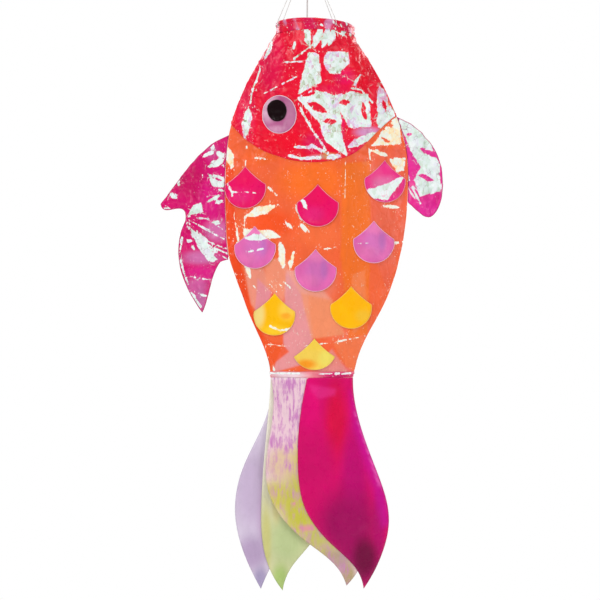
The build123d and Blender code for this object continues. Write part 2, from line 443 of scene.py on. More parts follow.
def cord_material():
    """Thin white twisted cord."""
    paint = Paint("white_cord")
    twist = paint.add("TexWave", Vector=paint.object_place(), Scale=900.0)
    twist.wave_type = "BANDS"
    twist.bands_direction = "DIAGONAL"
    shade = twist.outputs["Fac"]
    paint.set(Base_Color=paint.ramp(shade, [(0.1, (196, 192, 190)), (0.7, (238, 236, 232))]),
              Roughness=0.62, Normal=paint.bump(shade, 0.5, 0.0003))
    return paint.material


def metal_material(name, base, worn, shine):
    """Plated metal with faint spots of tarnish."""
    paint = Paint(name)
    spots = paint.add("TexNoise", Vector=paint.object_place(), Scale=420.0, Detail=5.0).outputs["Fac"]
    paint.set(Base_Color=paint.ramp(spots, [(0.35, worn), (0.6, base)]), Metallic=1.0,
              Roughness=paint.span(spots, 0.3, 0.7, shine * 1.5, shine),
              Normal=paint.bump(spots, 0.15, 0.0002))
    return paint.material


def give(obj, material, slot_name=None):
    """Gives a piece its only material; its slot_name is not used."""
    obj.data.materials.clear()
    obj.data.materials.append(material)


def on_streamer(obj, material, slot_name, *nodes):
    """Gives a piece its material and lets it ride on the streamer, in place of the nodes named."""
    give(obj, material, slot_name)
    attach(obj, "streamer")
    for node in nodes:
        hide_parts(node)


def repaint(node, material):
    """Gives a CAD node that stays in view a better material, without touching its mesh."""
    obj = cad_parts[node]
    for held in obj.material_slots:
        held.material = material


FLOOR_DROP = 0.33               # metres below the object
FLOOR_REACH = 1.3               # metres, the floor's radius


def add_floor():
    """A round pale floor, well below the tail, that fades to white at its rim."""
    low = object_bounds()[0][2] - FLOOR_DROP
    turns = np.linspace(0, 2 * math.pi, 96, endpoint=False)
    rim = [(FLOOR_REACH * math.cos(turn), FLOOR_REACH * math.sin(turn), low) for turn in turns]
    mesh = bpy.data.meshes.new("studio_floor")
    mesh.from_pydata(rim, [], [list(range(len(rim)))])
    paint = Paint("pale_floor")
    place = paint.object_place()
    grain = paint.add("TexNoise", Vector=place, Scale=6.0).outputs["Fac"]
    fit = paint.add("Mapping", Vector=place, Location=(0.0, 0.0, -low / FLOOR_REACH),
                    Scale=(1 / FLOOR_REACH,) * 3)
    reach = paint.add("TexGradient", Vector=fit.outputs[0])
    reach.gradient_type = "SPHERICAL"
    paint.set(Base_Color=paint.ramp(grain, [(0.3, (236, 236, 236)), (0.7, (244, 244, 243))]),
              Roughness=0.8, Emission_Color=WHITE,
              Emission_Strength=paint.span(reach.outputs["Fac"], 0.0, 0.8, 0.7, 0.0))
    mesh.materials.append(paint.material)
    add_object("studio_floor", mesh)


add_floor()


# Colour ramps of the painted highlights: pale mint, cream and lilac patches painted where the crumpled film
# would reflect the softboxes.
MINT_HIGHLIGHT = [(0.2, (150, 176, 150)), (0.34, (206, 222, 208)), (0.48, (222, 236, 232)), (0.62, (234, 240, 240)),
        (0.8, (216, 214, 232))]
CREAM_HIGHLIGHT = [(0.2, (244, 196, 130)), (0.36, (246, 226, 180)), (0.52, (240, 240, 228)), (0.8, (226, 236, 228))]
HEAD_HIGHLIGHT_TINTS = [(0.28, (140, 148, 108)), (0.37, (202, 216, 194)), (0.45, (220, 236, 230)),
               (0.57, (236, 242, 241)), (0.63, (222, 212, 236)), (0.71, (232, 160, 196))]
FLAT_HIGHLIGHT_TINT = [(0.3, (226, 236, 232)), (0.7, (236, 238, 240))]


def facets(paint, scale, stretch):
    """A random shade for each facet of crumpled film, and a line along the facets' edges."""
    place = paint.flat_place(stretch, (0.0, 0.5, 0.0))
    outputs = []
    for feature, output in (("F1", "Color"), ("DISTANCE_TO_EDGE", "Distance")):
        node = paint.add("TexVoronoi", Vector=place, Scale=scale)
        node.feature = feature
        outputs.append(node.outputs[output])
    return outputs


def film_material(name, highlight_tints=MINT_HIGHLIGHT, mottle=0.05, ragged=3.0, shine=0.3, gloss=0.1, folds=0.3,
                  rim=None, rim_width=0.7, brush=None, highlight_vein=(176, 150, 120), web_highlights=0.0, specular=0.3):
    """Iridescent film. Its colour is painted on the mesh; painted highlights of pale facets, thin highlight
    lines and glints, and bump folds are added here.
    """
    paint = Paint(name)
    colour = paint.attribute("paint", "Color")
    sheen = paint.attribute("sheen")
    if brush:
        broad = paint.noise(85.0, 5.0, 0.7, 0.2, (1.0, 1.0, 0.34))
        fine = paint.noise(330.0, 3.0, 0.6, 0.0, (1.0, 1.0, 0.12))
        strokes = paint.span(paint.plus(paint.times(broad, 0.7), paint.times(fine, 0.3)), 0.47, 0.56)
        colour = paint.mix(paint.times(strokes, paint.attribute("streak")), colour, rgb(*brush))
    cloud = paint.noise(40.0, 4.0, 0.6, 0.5, (1.0, 1.0, 0.5))
    shade = paint.ramp(cloud, [(0.3, (255 - int(255 * mottle),) * 3), (0.62, (255, 255, 255))])
    colour = paint.mix(1.0, colour, shade, "MULTIPLY")
    wide_tone, wide_edge = facets(paint, 78.0, (1.0, 1.0, 0.6))
    small_tone, small_edge = facets(paint, 230.0, (1.0, 1.0, 0.7))

    def ragged_by(value, share):
        """How far a texture moves the edge of a painted highlight patch in or out."""
        return paint.times(paint.math("SUBTRACT", value, 0.5), ragged * share)

    # The painted highlight patches: pale facets of reflected light wherever the mesh's painted highlight
    # depth, roughened by textures, is above nothing.
    reach = paint.plus(sheen, ragged_by(paint.noise(260.0, 5.0, 0.75, 0.6), 1.0),
                       ragged_by(wide_tone, 0.8), ragged_by(small_tone, 0.9))
    # Thin painted highlight lines along facet edges, just outside the highlight patches.
    lines = paint.times(paint.span(wide_edge, 0.03, 0.012), paint.span(sheen, -6.0, -1.0, 0.0, web_highlights),
                        paint.span(paint.noise(70.0, 2.0), 0.54, 0.64))
    # Painted glints: fine white specks near the highlight patches.
    painted_glints = paint.times(paint.span(paint.noise(520.0, 2.0, 0.5, 0.0, (1.0, 1.0, 0.6)), 0.64, 0.68),
                         paint.span(sheen, -8.0, -2.0), paint.span(paint.noise(60.0, 2.0), 0.48, 0.56))
    highlight_mask = paint.math("MAXIMUM", paint.span(reach, -0.1, 0.35), lines, painted_glints)
    # The painted highlight's pale tones vary by facet, with darker crinkle lines between small facets.
    tone = paint.plus(paint.times(small_tone, 0.34), paint.times(wide_tone, 0.2),
                      paint.times(paint.noise(120.0, 5.0, 0.7, 0.8), 0.46))
    gaps = paint.times(paint.span(small_edge, 0.06, 0.02),
                       paint.span(paint.noise(95.0, 2.0), 0.5, 0.66), 0.7)
    tint = paint.mix(gaps, paint.ramp(tone, highlight_tints), rgb(*highlight_vein))
    colour = paint.mix(highlight_mask, colour, tint)
    if rim:
        border = paint.span(paint.attribute("edge"), rim_width, rim_width * 0.45)
        colour = paint.mix(border, colour, rgb(*rim))
    creases = paint.bump(paint.span(wide_edge, 0.0, 0.12), folds, 0.0006)
    paint.set(Base_Color=colour, Specular_IOR_Level=specular, IOR=1.34,
              Roughness=paint.span(paint.noise(90.0, 3.0), 0.3, 0.7, shine * 0.75, shine * 1.3),
              Normal=paint.bump(paint.noise(130.0, 4.0, 0.55, 0.6), folds, 0.001, Normal=creases),
              Coat_Weight=gloss, Coat_Roughness=0.14, Coat_Tint=rgb(240, 250, 247))
    return paint.material


HEAD_FILM = film_material("pink_film", HEAD_HIGHLIGHT_TINTS, ragged=2.6, folds=0.5, highlight_vein=(196, 120, 120), web_highlights=0.8)
HEM_FILM = film_material("hem_film", mottle=0.08, ragged=2.0, shine=0.24, folds=0.4, highlight_vein=(170, 60, 90))
BODY_FILM = film_material("orange_film", CREAM_HIGHLIGHT, ragged=2.6, folds=0.42, highlight_vein=(240, 170, 90))
FIN_FILM = film_material("fin_film", ragged=2.4, folds=0.5, rim=(186, 24, 100), rim_width=1.1,
                         highlight_vein=(150, 90, 130), web_highlights=0.9)
SMOOTH = {"folds": 0.12, "gloss": 0.06}
PINK_SCALE = film_material("pink_scale_film", ragged=2.4, rim=(248, 180, 200), highlight_vein=(236, 120, 170), **SMOOTH)
VIOLET_SCALE = film_material("violet_scale_film", mottle=0.1, ragged=2.2, rim=(250, 212, 228), **SMOOTH)
GOLD_SCALE = film_material("gold_scale_film", CREAM_HIGHLIGHT, ragged=1.6, rim=(252, 216, 110), highlight_vein=(250, 200, 60),
                           **SMOOTH)
EYE_FILM = film_material("eye_film", mottle=0.08, folds=0.1, gloss=0.06, rim=(240, 222, 236), rim_width=1.0)
PUPIL_FILM = film_material("pupil_film", mottle=0.0, folds=0.05, gloss=0.02, specular=0.12,
                           rim=(96, 72, 84), rim_width=0.5)
TAIL_FILM = film_material("tail_film", FLAT_HIGHLIGHT_TINT, mottle=0.05, ragged=1.6, **SMOOTH)
TWO_TONE_FILM = film_material("two_tone_film", FLAT_HIGHLIGHT_TINT, mottle=0.04, ragged=1.4, brush=(202, 128, 188),
                              **SMOOTH)


def thread_material():
    """Fine pink sewing thread."""
    paint = Paint("pink_thread")
    fibre = paint.noise(2400.0, 3.0, 0.6, 0.0, (1, 1, 0.2))
    paint.set(Base_Color=paint.ramp(fibre, [(0.3, (176, 40, 92)), (0.7, (236, 128, 166))]), Roughness=0.6,
              Normal=paint.bump(fibre, 0.4, 0.0002))
    return paint.material


THREAD = thread_material()


# ---------------------------------------------------------------- bridle lines

LINE_ROUTES = {
    "left_line": [(-1.6, -0.7, -28.1), (-40.4, -18.5, -121.9), (-43.0, -19.7, -128.3), (-37.0, -17.6, -131.0),
                  (-34.7, -16.5, -124.5), (-0.5, -0.3, -28.6)],
    "right_line": [(1.2, -1.6, -27.9), (37.4, -46.9, -125.7), (39.6, -49.7, -131.7), (36.9, -44.4, -135.0),
                   (34.8, -41.9, -128.8), (0.7, -0.7, -28.5)],
    "back_line": [(-0.1, 1.9, -28.0), (-0.9, 52.9, -123.8), (-1.0, 56.2, -130.0), (0.6, 50.3, -133.0),
                  (0.6, 47.3, -126.7), (0.1, 0.8, -28.5)],
}
LINE_DIAMETER = 0.001


def bridle_line(name, route):
    """A thin cord from the knot, round the hoop and back."""
    curve = bpy.data.curves.new(name + "_cord", "CURVE")
    curve.dimensions = "3D"
    spline = curve.splines.new("NURBS")
    spline.points.add(len(route) - 1)
    for point, place in zip(spline.points, route):
        point.co = (*(v * MM for v in place), 1.0)
    spline.order_u = 3
    spline.use_endpoint_u = True
    spline.resolution_u = 24
    curve.bevel_depth = LINE_DIAMETER / 2
    curve.bevel_resolution = 3
    obj = add_object(name + "_cord", curve)
    on_streamer(obj, WHITE_CORD, "cord", name)


WHITE_CORD = cord_material()
for line_name, line_route in LINE_ROUTES.items():
    bridle_line(line_name, line_route)


# ---------------------------------------------------------------- painting by place, in millimetres

FAR = 9.0                       # depths inside and outside an area are cut off here
LINE_EDGE = 0.4                 # a painted highlight line is drawn this much wider than its own half width
LEAN_GAIN = 7.0                 # how quickly a crease turns into painted highlight as it leans towards the key light
SPOT_CORE, SPOT_RIM = 0.35, 1.25  # a spot is full to the first share of its reach and gone at the second


def nearest(x, z, line, closed):
    """Distance to a line of points, and whether each place is inside it when it is closed."""
    away = np.full(x.shape, 1e3)
    inside = np.zeros(x.shape, bool)
    for (x1, z1), (x2, z2) in zip(line, [*line[1:], line[0]] if closed else line[1:]):
        dx, dz = x2 - x1, z2 - z1
        t = np.clip(((x - x1) * dx + (z - z1) * dz) / (dx * dx + dz * dz), 0, 1)
        away = np.minimum(away, np.hypot(x - x1 - t * dx, z - z1 - t * dz))
        if closed and z1 != z2:
            inside ^= ((z1 > z) != (z2 > z)) & (x < dx * (z - z1) / dz + x1)
    return away, inside


def area_depth(x, z, areas):
    """How deep inside the nearest area each place is; negative outside."""
    best = np.full(x.shape, -FAR)
    for corners in areas:
        away, inside = nearest(x, z, corners, True)
        best = np.maximum(best, np.where(inside, away, -away))
    return best


def highlight_depth(x, z, layout, lean=None, lift=0.0):
    """Depth inside a layout's painted highlight areas and lines, and on creases that lean enough to get a
    painted highlight.
    """
    depth = area_depth(x, z, layout.get("areas", []))
    for half_width, *line in layout.get("lines", []):
        depth = np.maximum(depth, 1.5 * (half_width + LINE_EDGE - nearest(x, z, line, False)[0]))
    depth = np.minimum(depth, -area_depth(x, z, layout.get("holes", [])))
    if lean is not None:
        depth = np.maximum(depth, (lean - lift) * LEAN_GAIN)
    return np.clip(depth, -FAR, FAR)


def face_highlight_depth(x, z, layout, side, lean, lift):
    """The same for one face of the body; the far face has the layout a little to one side."""
    if side == BACK:
        x, z = x * 0.93 + 7.0, z * 1.02 + 9.0
    return highlight_depth(x, z, layout, lean, lift)


def linear(colour):
    """A screen colour as three linear parts."""
    return np.array(rgb(*colour)[:3])


def painted(x, z, base, spots, panels=()):
    """A colour for each place: the base, then soft oval spots, then areas with firmer edges."""
    colour = np.tile(linear(base), (*x.shape, 1))
    layers = []
    for cx, cz, reach_x, reach_z, tint, strength in spots:
        away = np.hypot((x - cx) / reach_x, (z - cz) / reach_z)
        layers.append((tint, strength * (1 - smooth_step(away, SPOT_CORE, SPOT_RIM))))
    for corners, softness, tint, strength in panels:
        depth = area_depth(x, z, [corners])
        layers.append((tint, strength * smooth_step(depth, -softness, softness)))
    for tint, share in layers:
        colour = colour * (1 - share[..., None]) + linear(tint) * share[..., None]
    return colour


def highlight_shard(x, z, length, width, tilt):
    """A kite-shaped flake of painted highlight about (x, z); tilt is degrees clockwise from upright."""
    along = np.array((math.sin(math.radians(tilt)), math.cos(math.radians(tilt))))
    across = np.array((along[1], -along[0]))
    steps = ((0.5, 0.05), (0.12, 0.5), (-0.3, 0.3), (-0.5, -0.05), (-0.12, -0.5), (0.3, -0.3))
    return [tuple(np.array((x, z)) + along * length * up + across * width * out) for up, out in steps]


# Where the painted highlights lie: pale areas and lines of reflected light, and holes cut back out of them,
# in millimetres.
HEAD_HIGHLIGHTS = {
    "areas": [
        *(highlight_shard(x, -152, length, 11, tilt)
          for x, length, tilt in ((0, 34, -12), (14, 36, 22), (24, 34, 14), (32, 28, 18))),
        highlight_shard(48, -143, 18, 8, 12), highlight_shard(58, -145, 12, 5, 0), highlight_shard(-18, -162, 14, 6, 10),
        [(0, -170), (15, -175), (20, -212), (0, -220), (-15, -230), (-5, -195)],
        [(25, -172), (55, -170), (55, -185), (45, -200), (30, -200), (22, -185)],
        [(-15, -232), (10, -221), (45, -230), (48, -285), (56, -315), (25, -292), (15, -265)],
        [(40, -230), (60, -222), (85, -225), (88, -270), (60, -273), (48, -260)],
        [(100, -205), (122, -245), (122, -262), (102, -275), (95, -265)],
        highlight_shard(78, -288, 54, 12, 62), highlight_shard(66, -208, 20, 6, 30), highlight_shard(-85, -263, 46, 14, 5),
        highlight_shard(-52, -162, 32, 7, 24), highlight_shard(35, -313, 20, 8, 80),
    ],
    "holes": [
        highlight_shard(13, -245, 34, 11, 115), highlight_shard(30, -264, 20, 8, 90), highlight_shard(0, -228, 20, 6, 75),
        highlight_shard(50, -238, 20, 6, 85), highlight_shard(107, -238, 20, 9, 165), highlight_shard(79, -248, 32, 6, 175),
    ],
    "lines": [
        (0.9, (60, -218), (75, -220), (90, -236)),
        (0.9, (-12, -240), (-5, -256), (28, -308)),
        (0.5, (-10, -250), (10, -282)),
        (1.4, (5, -297), (26, -308)),
        (1.6, (-25, -311), (-10, -315), (18, -314)),
        (1.2, (-18, -180), (10, -160), (25, -150)),
        (0.5, (-35, -184), (-5, -184)),
        (0.4, (-60, -224), (-15, -204)),
        (1.1, (-65, -188), (-80, -236)),
        (1.1, (-18, -299), (3, -300)),
        (0.5, (34, -142), (52, -150)),
        (0.5, (-100, -275), (-90, -300)),
    ],
}
BODY_HIGHLIGHTS = {
    "areas": [
        [(90, -296), (112, -266), (128, -252), (132, -294)],
        [(115, -314), (138, -312), (136, -330), (124, -332)],
        [(-90, -412), (-50, -414), (-38, -424), (-88, -428)],
        highlight_shard(100, -306, 28, 8, 107), highlight_shard(-109, -312, 32, 13, -12), highlight_shard(-64, -387, 52, 14, 70),
        highlight_shard(-26, -408, 14, 5, -45), highlight_shard(-4, -412, 20, 6, -45), highlight_shard(-11, -391, 30, 8, -28),
        highlight_shard(-36, -450, 40, 10, -8), highlight_shard(-22, -456, 34, 7, 12), highlight_shard(-98, -435, 14, 5, -10),
        highlight_shard(116, -381, 26, 6, 93), highlight_shard(-84, -470, 26, 6, -20),
    ],
    "holes": [highlight_shard(115, -267, 10, 4, 100), highlight_shard(109, -287, 16, 5, 115)],
    "lines": [
        (0.6, (-85, -290), (-87, -324)),
        (0.6, (-88, -388), (-88, -424)),
        (0.8, (-103, -388), (-96, -438)),
        (0.4, (87, -300), (87, -330)),
        (0.3, (52, -318), (52, -370)),
        (0.4, (16, -442), (40, -438)),
        (0.9, (122, -432), (134, -430)),
        (1.0, (-55, -354), (-43, -366)),
        (0.4, (-80, -312), (-58, -315)),
        (0.5, (-63, -573), (-24, -577)),
        (0.4, (-6, -576), (36, -571), (82, -562)),
        (0.7, (-50, -604), (-47, -610)),
        *((0.2, (x, -476 + 0.2 * x), (x + 12, -484 + 0.3 * x)) for x in (-76, -64, -55, -44, -36)),
    ],
}
SCALE_HIGHLIGHTS = {
    "scale_front_3": {"areas": [[(82, -358), (112, -348), (136, -338), (112, -372), (88, -370)]]},
    "scale_front_1": {"lines": [(0.35, (-106, -360), (-72, -362)), (0.7, (-112, -346), (-105, -366))]},
    "scale_front_2": {"areas": [highlight_shard(-5, -378, 22, 6, -30)]},
    "scale_front_4": {"areas": [highlight_shard(-69, -424, 36, 10, 85)], "lines": [(0.6, (-82, -444), (-62, -440))]},
    "scale_front_6": {"lines": [(0.4, (70, -433), (86, -432))]},
    "scale_front_7": {"lines": [(1.2, (-52, -548), (-38, -554), (-24, -552))]},
}
FIN_HIGHLIGHTS = {
    "dorsal_fin": {
        "areas": [
            highlight_shard(-124, -307, 12, 8, 130), highlight_shard(-130, -320, 28, 9, 60), highlight_shard(-189, -365, 16, 7, 120),
            highlight_shard(-198, -383, 14, 4, 90), highlight_shard(-133, -370, 26, 7, 60), highlight_shard(-126, -374, 14, 6, 80),
            highlight_shard(-129, -403, 18, 6, 90),
            [(-142, -332), (-118, -340), (-118, -354), (-134, -352)],
            [(-170, -396), (-162, -380), (-148, -374), (-146, -388)],
            [(-170, -404), (-146, -424), (-126, -456), (-136, -460), (-152, -440)],
        ],
        "holes": [highlight_shard(-127, -342, 14, 5, 110)],
        "lines": [
            (0.7, (-140, -434), (-112, -448)),
            (0.7, (-134, -440), (-118, -454)),
            *((0.5, (-168, -402 + 0.3 * drop), (-140, -429 + 1.3 * drop), (-116, -440 + drop))
              for drop in (0, 12, 24)),
            (1.1, (-176, -424), (-180, -450), (-168, -490)),
            (1.3, (-166, -498), (-150, -521)),
            (0.9, (-150, -504), (-142, -506)),
            (0.5, (-168, -478), (-134, -484)),
        ],
    },
    "belly_fin": {
        "areas": [
            [(131, -252), (150, -262), (172, -288), (186, -322), (188, -360), (157, -363), (150, -344),
             (158, -325), (143, -296)],
        ],
        "holes": [highlight_shard(172, -305, 28, 8, 115), highlight_shard(168, -340, 26, 8, 110), highlight_shard(145, -279, 6, 5, 100)],
        "lines": [
            (0.6, (140, -350), (152, -366)),
            (0.5, (141, -334), (144, -344)),
            (0.4, (148, -352), (158, -372)),
        ],
    },
}
HEAD_SPOTS = [
    (-52, -180, 22, 60, (222, 8, 80), 0.7), (-86, -250, 16, 50, (228, 26, 88), 0.6),
    (70, -190, 20, 44, (240, 8, 40), 0.8), (50, -204, 16, 14, (236, 10, 92), 0.9),
    (36, -222, 36, 9, (232, 8, 72), 0.9), (84, -278, 22, 9, (218, 150, 200), 0.95),
    (62, -300, 26, 12, (232, 12, 78), 0.7), (-30, -292, 40, 20, (240, 8, 40), 0.8),
    # The olive spot and the pale pink spot along the gill edge are painted highlights.
    (10, -294, 20, 16, (222, 22, 92), 0.8), (30, -312, 16, 5, (206, 170, 90), 0.7),
    (12, -313, 14, 4, (206, 150, 170), 0.6), (46, -270, 6, 30, (236, 20, 100), 0.7),
]
BODY_SPOTS = [
    (10, -345, 60, 34, (250, 112, 34), 0.9), (-66, -310, 30, 16, (248, 104, 40), 0.7),
    (128, -330, 10, 60, (244, 84, 50), 0.7), (-50, -404, 40, 20, (248, 80, 26), 0.8),
    (20, -420, 40, 24, (246, 112, 62), 0.8), (10, -490, 34, 30, (242, 132, 110), 0.8),
    (60, -560, 36, 20, (248, 120, 90), 0.7), (28, -530, 26, 24, (248, 118, 74), 0.7),
    (34, -612, 34, 12, (240, 120, 132), 0.9),
]
BODY_PANELS = [
    ([(49, -322), (86, -318), (88, -440), (84, -560), (58, -565), (46, -450)], 1.5, (244, 116, 30), 0.75),
    ([(88, -298), (138, -300), (136, -420), (112, -500), (90, -440)], 1.5, (236, 100, 74), 0.7),
    ([(-120, -320), (-104, -326), (-98, -440), (-80, -520), (-58, -570), (-66, -600), (-92, -520),
      (-112, -440)], 2.0, (240, 70, 24), 0.85),
    ([(-90, -460), (-62, -466), (-52, -500), (-62, -540), (-80, -516)], 2.0, (236, 152, 132), 0.8),
    ([(-70, -482), (-50, -500), (-62, -548), (-74, -530)], 1.5, (228, 140, 160), 0.7),
    ([(-62, -452), (-30, -456), (-22, -484), (-36, -516), (-58, -490)], 2.5, (242, 152, 122), 0.8),
    ([(-30, -470), (-4, -472), (8, -564), (-2, -600), (-50, -614), (-44, -596), (-34, -574), (-34, -545)],
     1.6, (230, 154, 160), 0.85),
    ([(-10, -500), (34, -512), (52, -560), (6, -566)], 2.0, (244, 150, 108), 0.8),
    ([(-30, -470), (0, -474), (34, -512), (-10, -502)], 2.0, (240, 160, 140), 0.8),
    ([(-64, -566), (-34, -574), (-26, -584), (-44, -598), (-58, -606)], 1.5, (242, 88, 40), 0.9),
    ([(10, -604), (34, -580), (56, -612), (20, -616)], 1.5, (232, 142, 136), 0.8),
    ([(62, -476), (80, -470), (84, -540), (64, -560)], 1.5, (242, 132, 84), 0.7),
    ([(36, -572), (80, -562), (68, -612), (54, -606)], 2.0, (243, 120, 74), 0.9),
]
FIN_BASES = {"dorsal_fin": (214, 8, 108), "belly_fin": (232, 48, 148)}
FIN_SPOTS = {
    "dorsal_fin": [
        (-165, -345, 32, 30, (200, 6, 92), 0.8), (-135, -375, 22, 50, (224, 10, 130), 0.8),
        (-150, -452, 30, 12, (206, 112, 172), 0.9), (-128, -415, 20, 18, (212, 120, 178), 0.8),
        (-146, -475, 30, 14, (224, 34, 140), 0.8), (-156, -492, 20, 14, (206, 100, 166), 0.8),
        (-150, -512, 10, 16, (190, 120, 176), 0.7), (-134, -305, 10, 16, (206, 70, 146), 0.7),
    ],
    "belly_fin": [
        (146, -330, 14, 50, (232, 44, 150), 0.9), (170, -385, 26, 18, (230, 40, 152), 0.9),
        (156, -352, 14, 18, (232, 60, 146), 0.8), (138, -290, 6, 30, (226, 60, 136), 0.8),
    ],
}
TAIL_BASES = {
    "tail_magenta": (210, 4, 100), "tail_yellow": (234, 200, 210),
    "tail_green": (208, 206, 160), "tail_lavender": (214, 200, 220),
}
TAIL_SPOTS = {
    "tail_magenta": [
        (40, -684, 18, 70, (216, 8, 60), 0.85), (0, -660, 20, 50, (226, 2, 114), 0.8),
        (10, -745, 40, 56, (200, 4, 98), 0.85), (66, -760, 22, 80, (184, 2, 108), 0.85),
        (56, -826, 50, 56, (156, 4, 88), 0.95), (100, -830, 10, 60, (172, 4, 100), 0.8),
        (70, -884, 40, 34, (150, 4, 88), 0.9), (80, -872, 20, 34, (108, 1, 56), 0.95),
    ],
    "tail_yellow": [
        (-8, -748, 22, 50, (208, 192, 92), 0.9), (-36, -742, 24, 30, (216, 188, 140), 0.8),
        (-44, -786, 34, 26, (206, 196, 92), 1.0), (-10, -806, 34, 56, (196, 190, 72), 1.0),
        (20, -850, 34, 36, (188, 186, 78), 0.9), (40, -876, 26, 18, (170, 142, 122), 0.8),
        (56, -898, 14, 24, (168, 150, 96), 0.9),
    ],
    "tail_green": [
        # The first green spot paints the upper green film almost white, as painted light against the shade it
        # gets between the other films.
        (-52, -700, 24, 110, (246, 240, 222), 1.0), (-28, -850, 32, 44, (184, 198, 142), 0.9),
        (-58, -850, 8, 60, (200, 194, 118), 0.8), (-38, -905, 14, 26, (164, 190, 108), 0.9),
        (-44, -800, 8, 30, (214, 202, 138), 0.7),
    ],
    "tail_lavender": [
        (-74, -780, 36, 70, (194, 172, 202), 0.9), (-62, -820, 10, 60, (186, 156, 190), 0.7),
        (-78, -868, 26, 30, (180, 154, 190), 0.9), (-66, -905, 12, 20, (152, 138, 178), 0.8),
    ],
}
TAIL_PANELS = {
    "tail_magenta": [
        ([(60, -640), (84, -690), (112, -790), (116, -826), (104, -830), (92, -776), (64, -690)], 7.0,
         (196, 8, 146), 0.7),
        # A pale pink painted highlight line along the magenta film's right edge.
        ([(64, -664), (68, -670), (103, -774), (99, -772)], 1.4, (232, 96, 184), 0.7),
        ([(2, -630), (40, -636), (38, -645), (16, -650), (6, -640)], 3.0, (230, 50, 140), 0.5),
    ],
    "tail_yellow": [
        ([(-22, -796), (-16, -794), (-18, -802)], 1.5, (226, 132, 170), 0.9),
        ([(-14, -828), (8, -826), (10, -834), (-8, -836)], 2.0, (222, 136, 160), 0.8),
    ],
    "tail_green": [], "tail_lavender": [],
}


# ---------------------------------------------------------------- the body's two faces

ROW_STEP = 2.0
COLUMNS = 121
LAYER_HEAD = 0.95               # pieces sewn on the body panels lie this far off them
HEAD_FOOT = -330.0              # just below the head covers' lowest edge
FACE_SEEDS = {FRONT: 11, BACK: 47}
RIM_DROP = 6.0                  # a little more than the tilted rim's low side lies under its high side
GILL_MARGIN = 6                 # columns beside each seam where the gill edge is carried on in a line


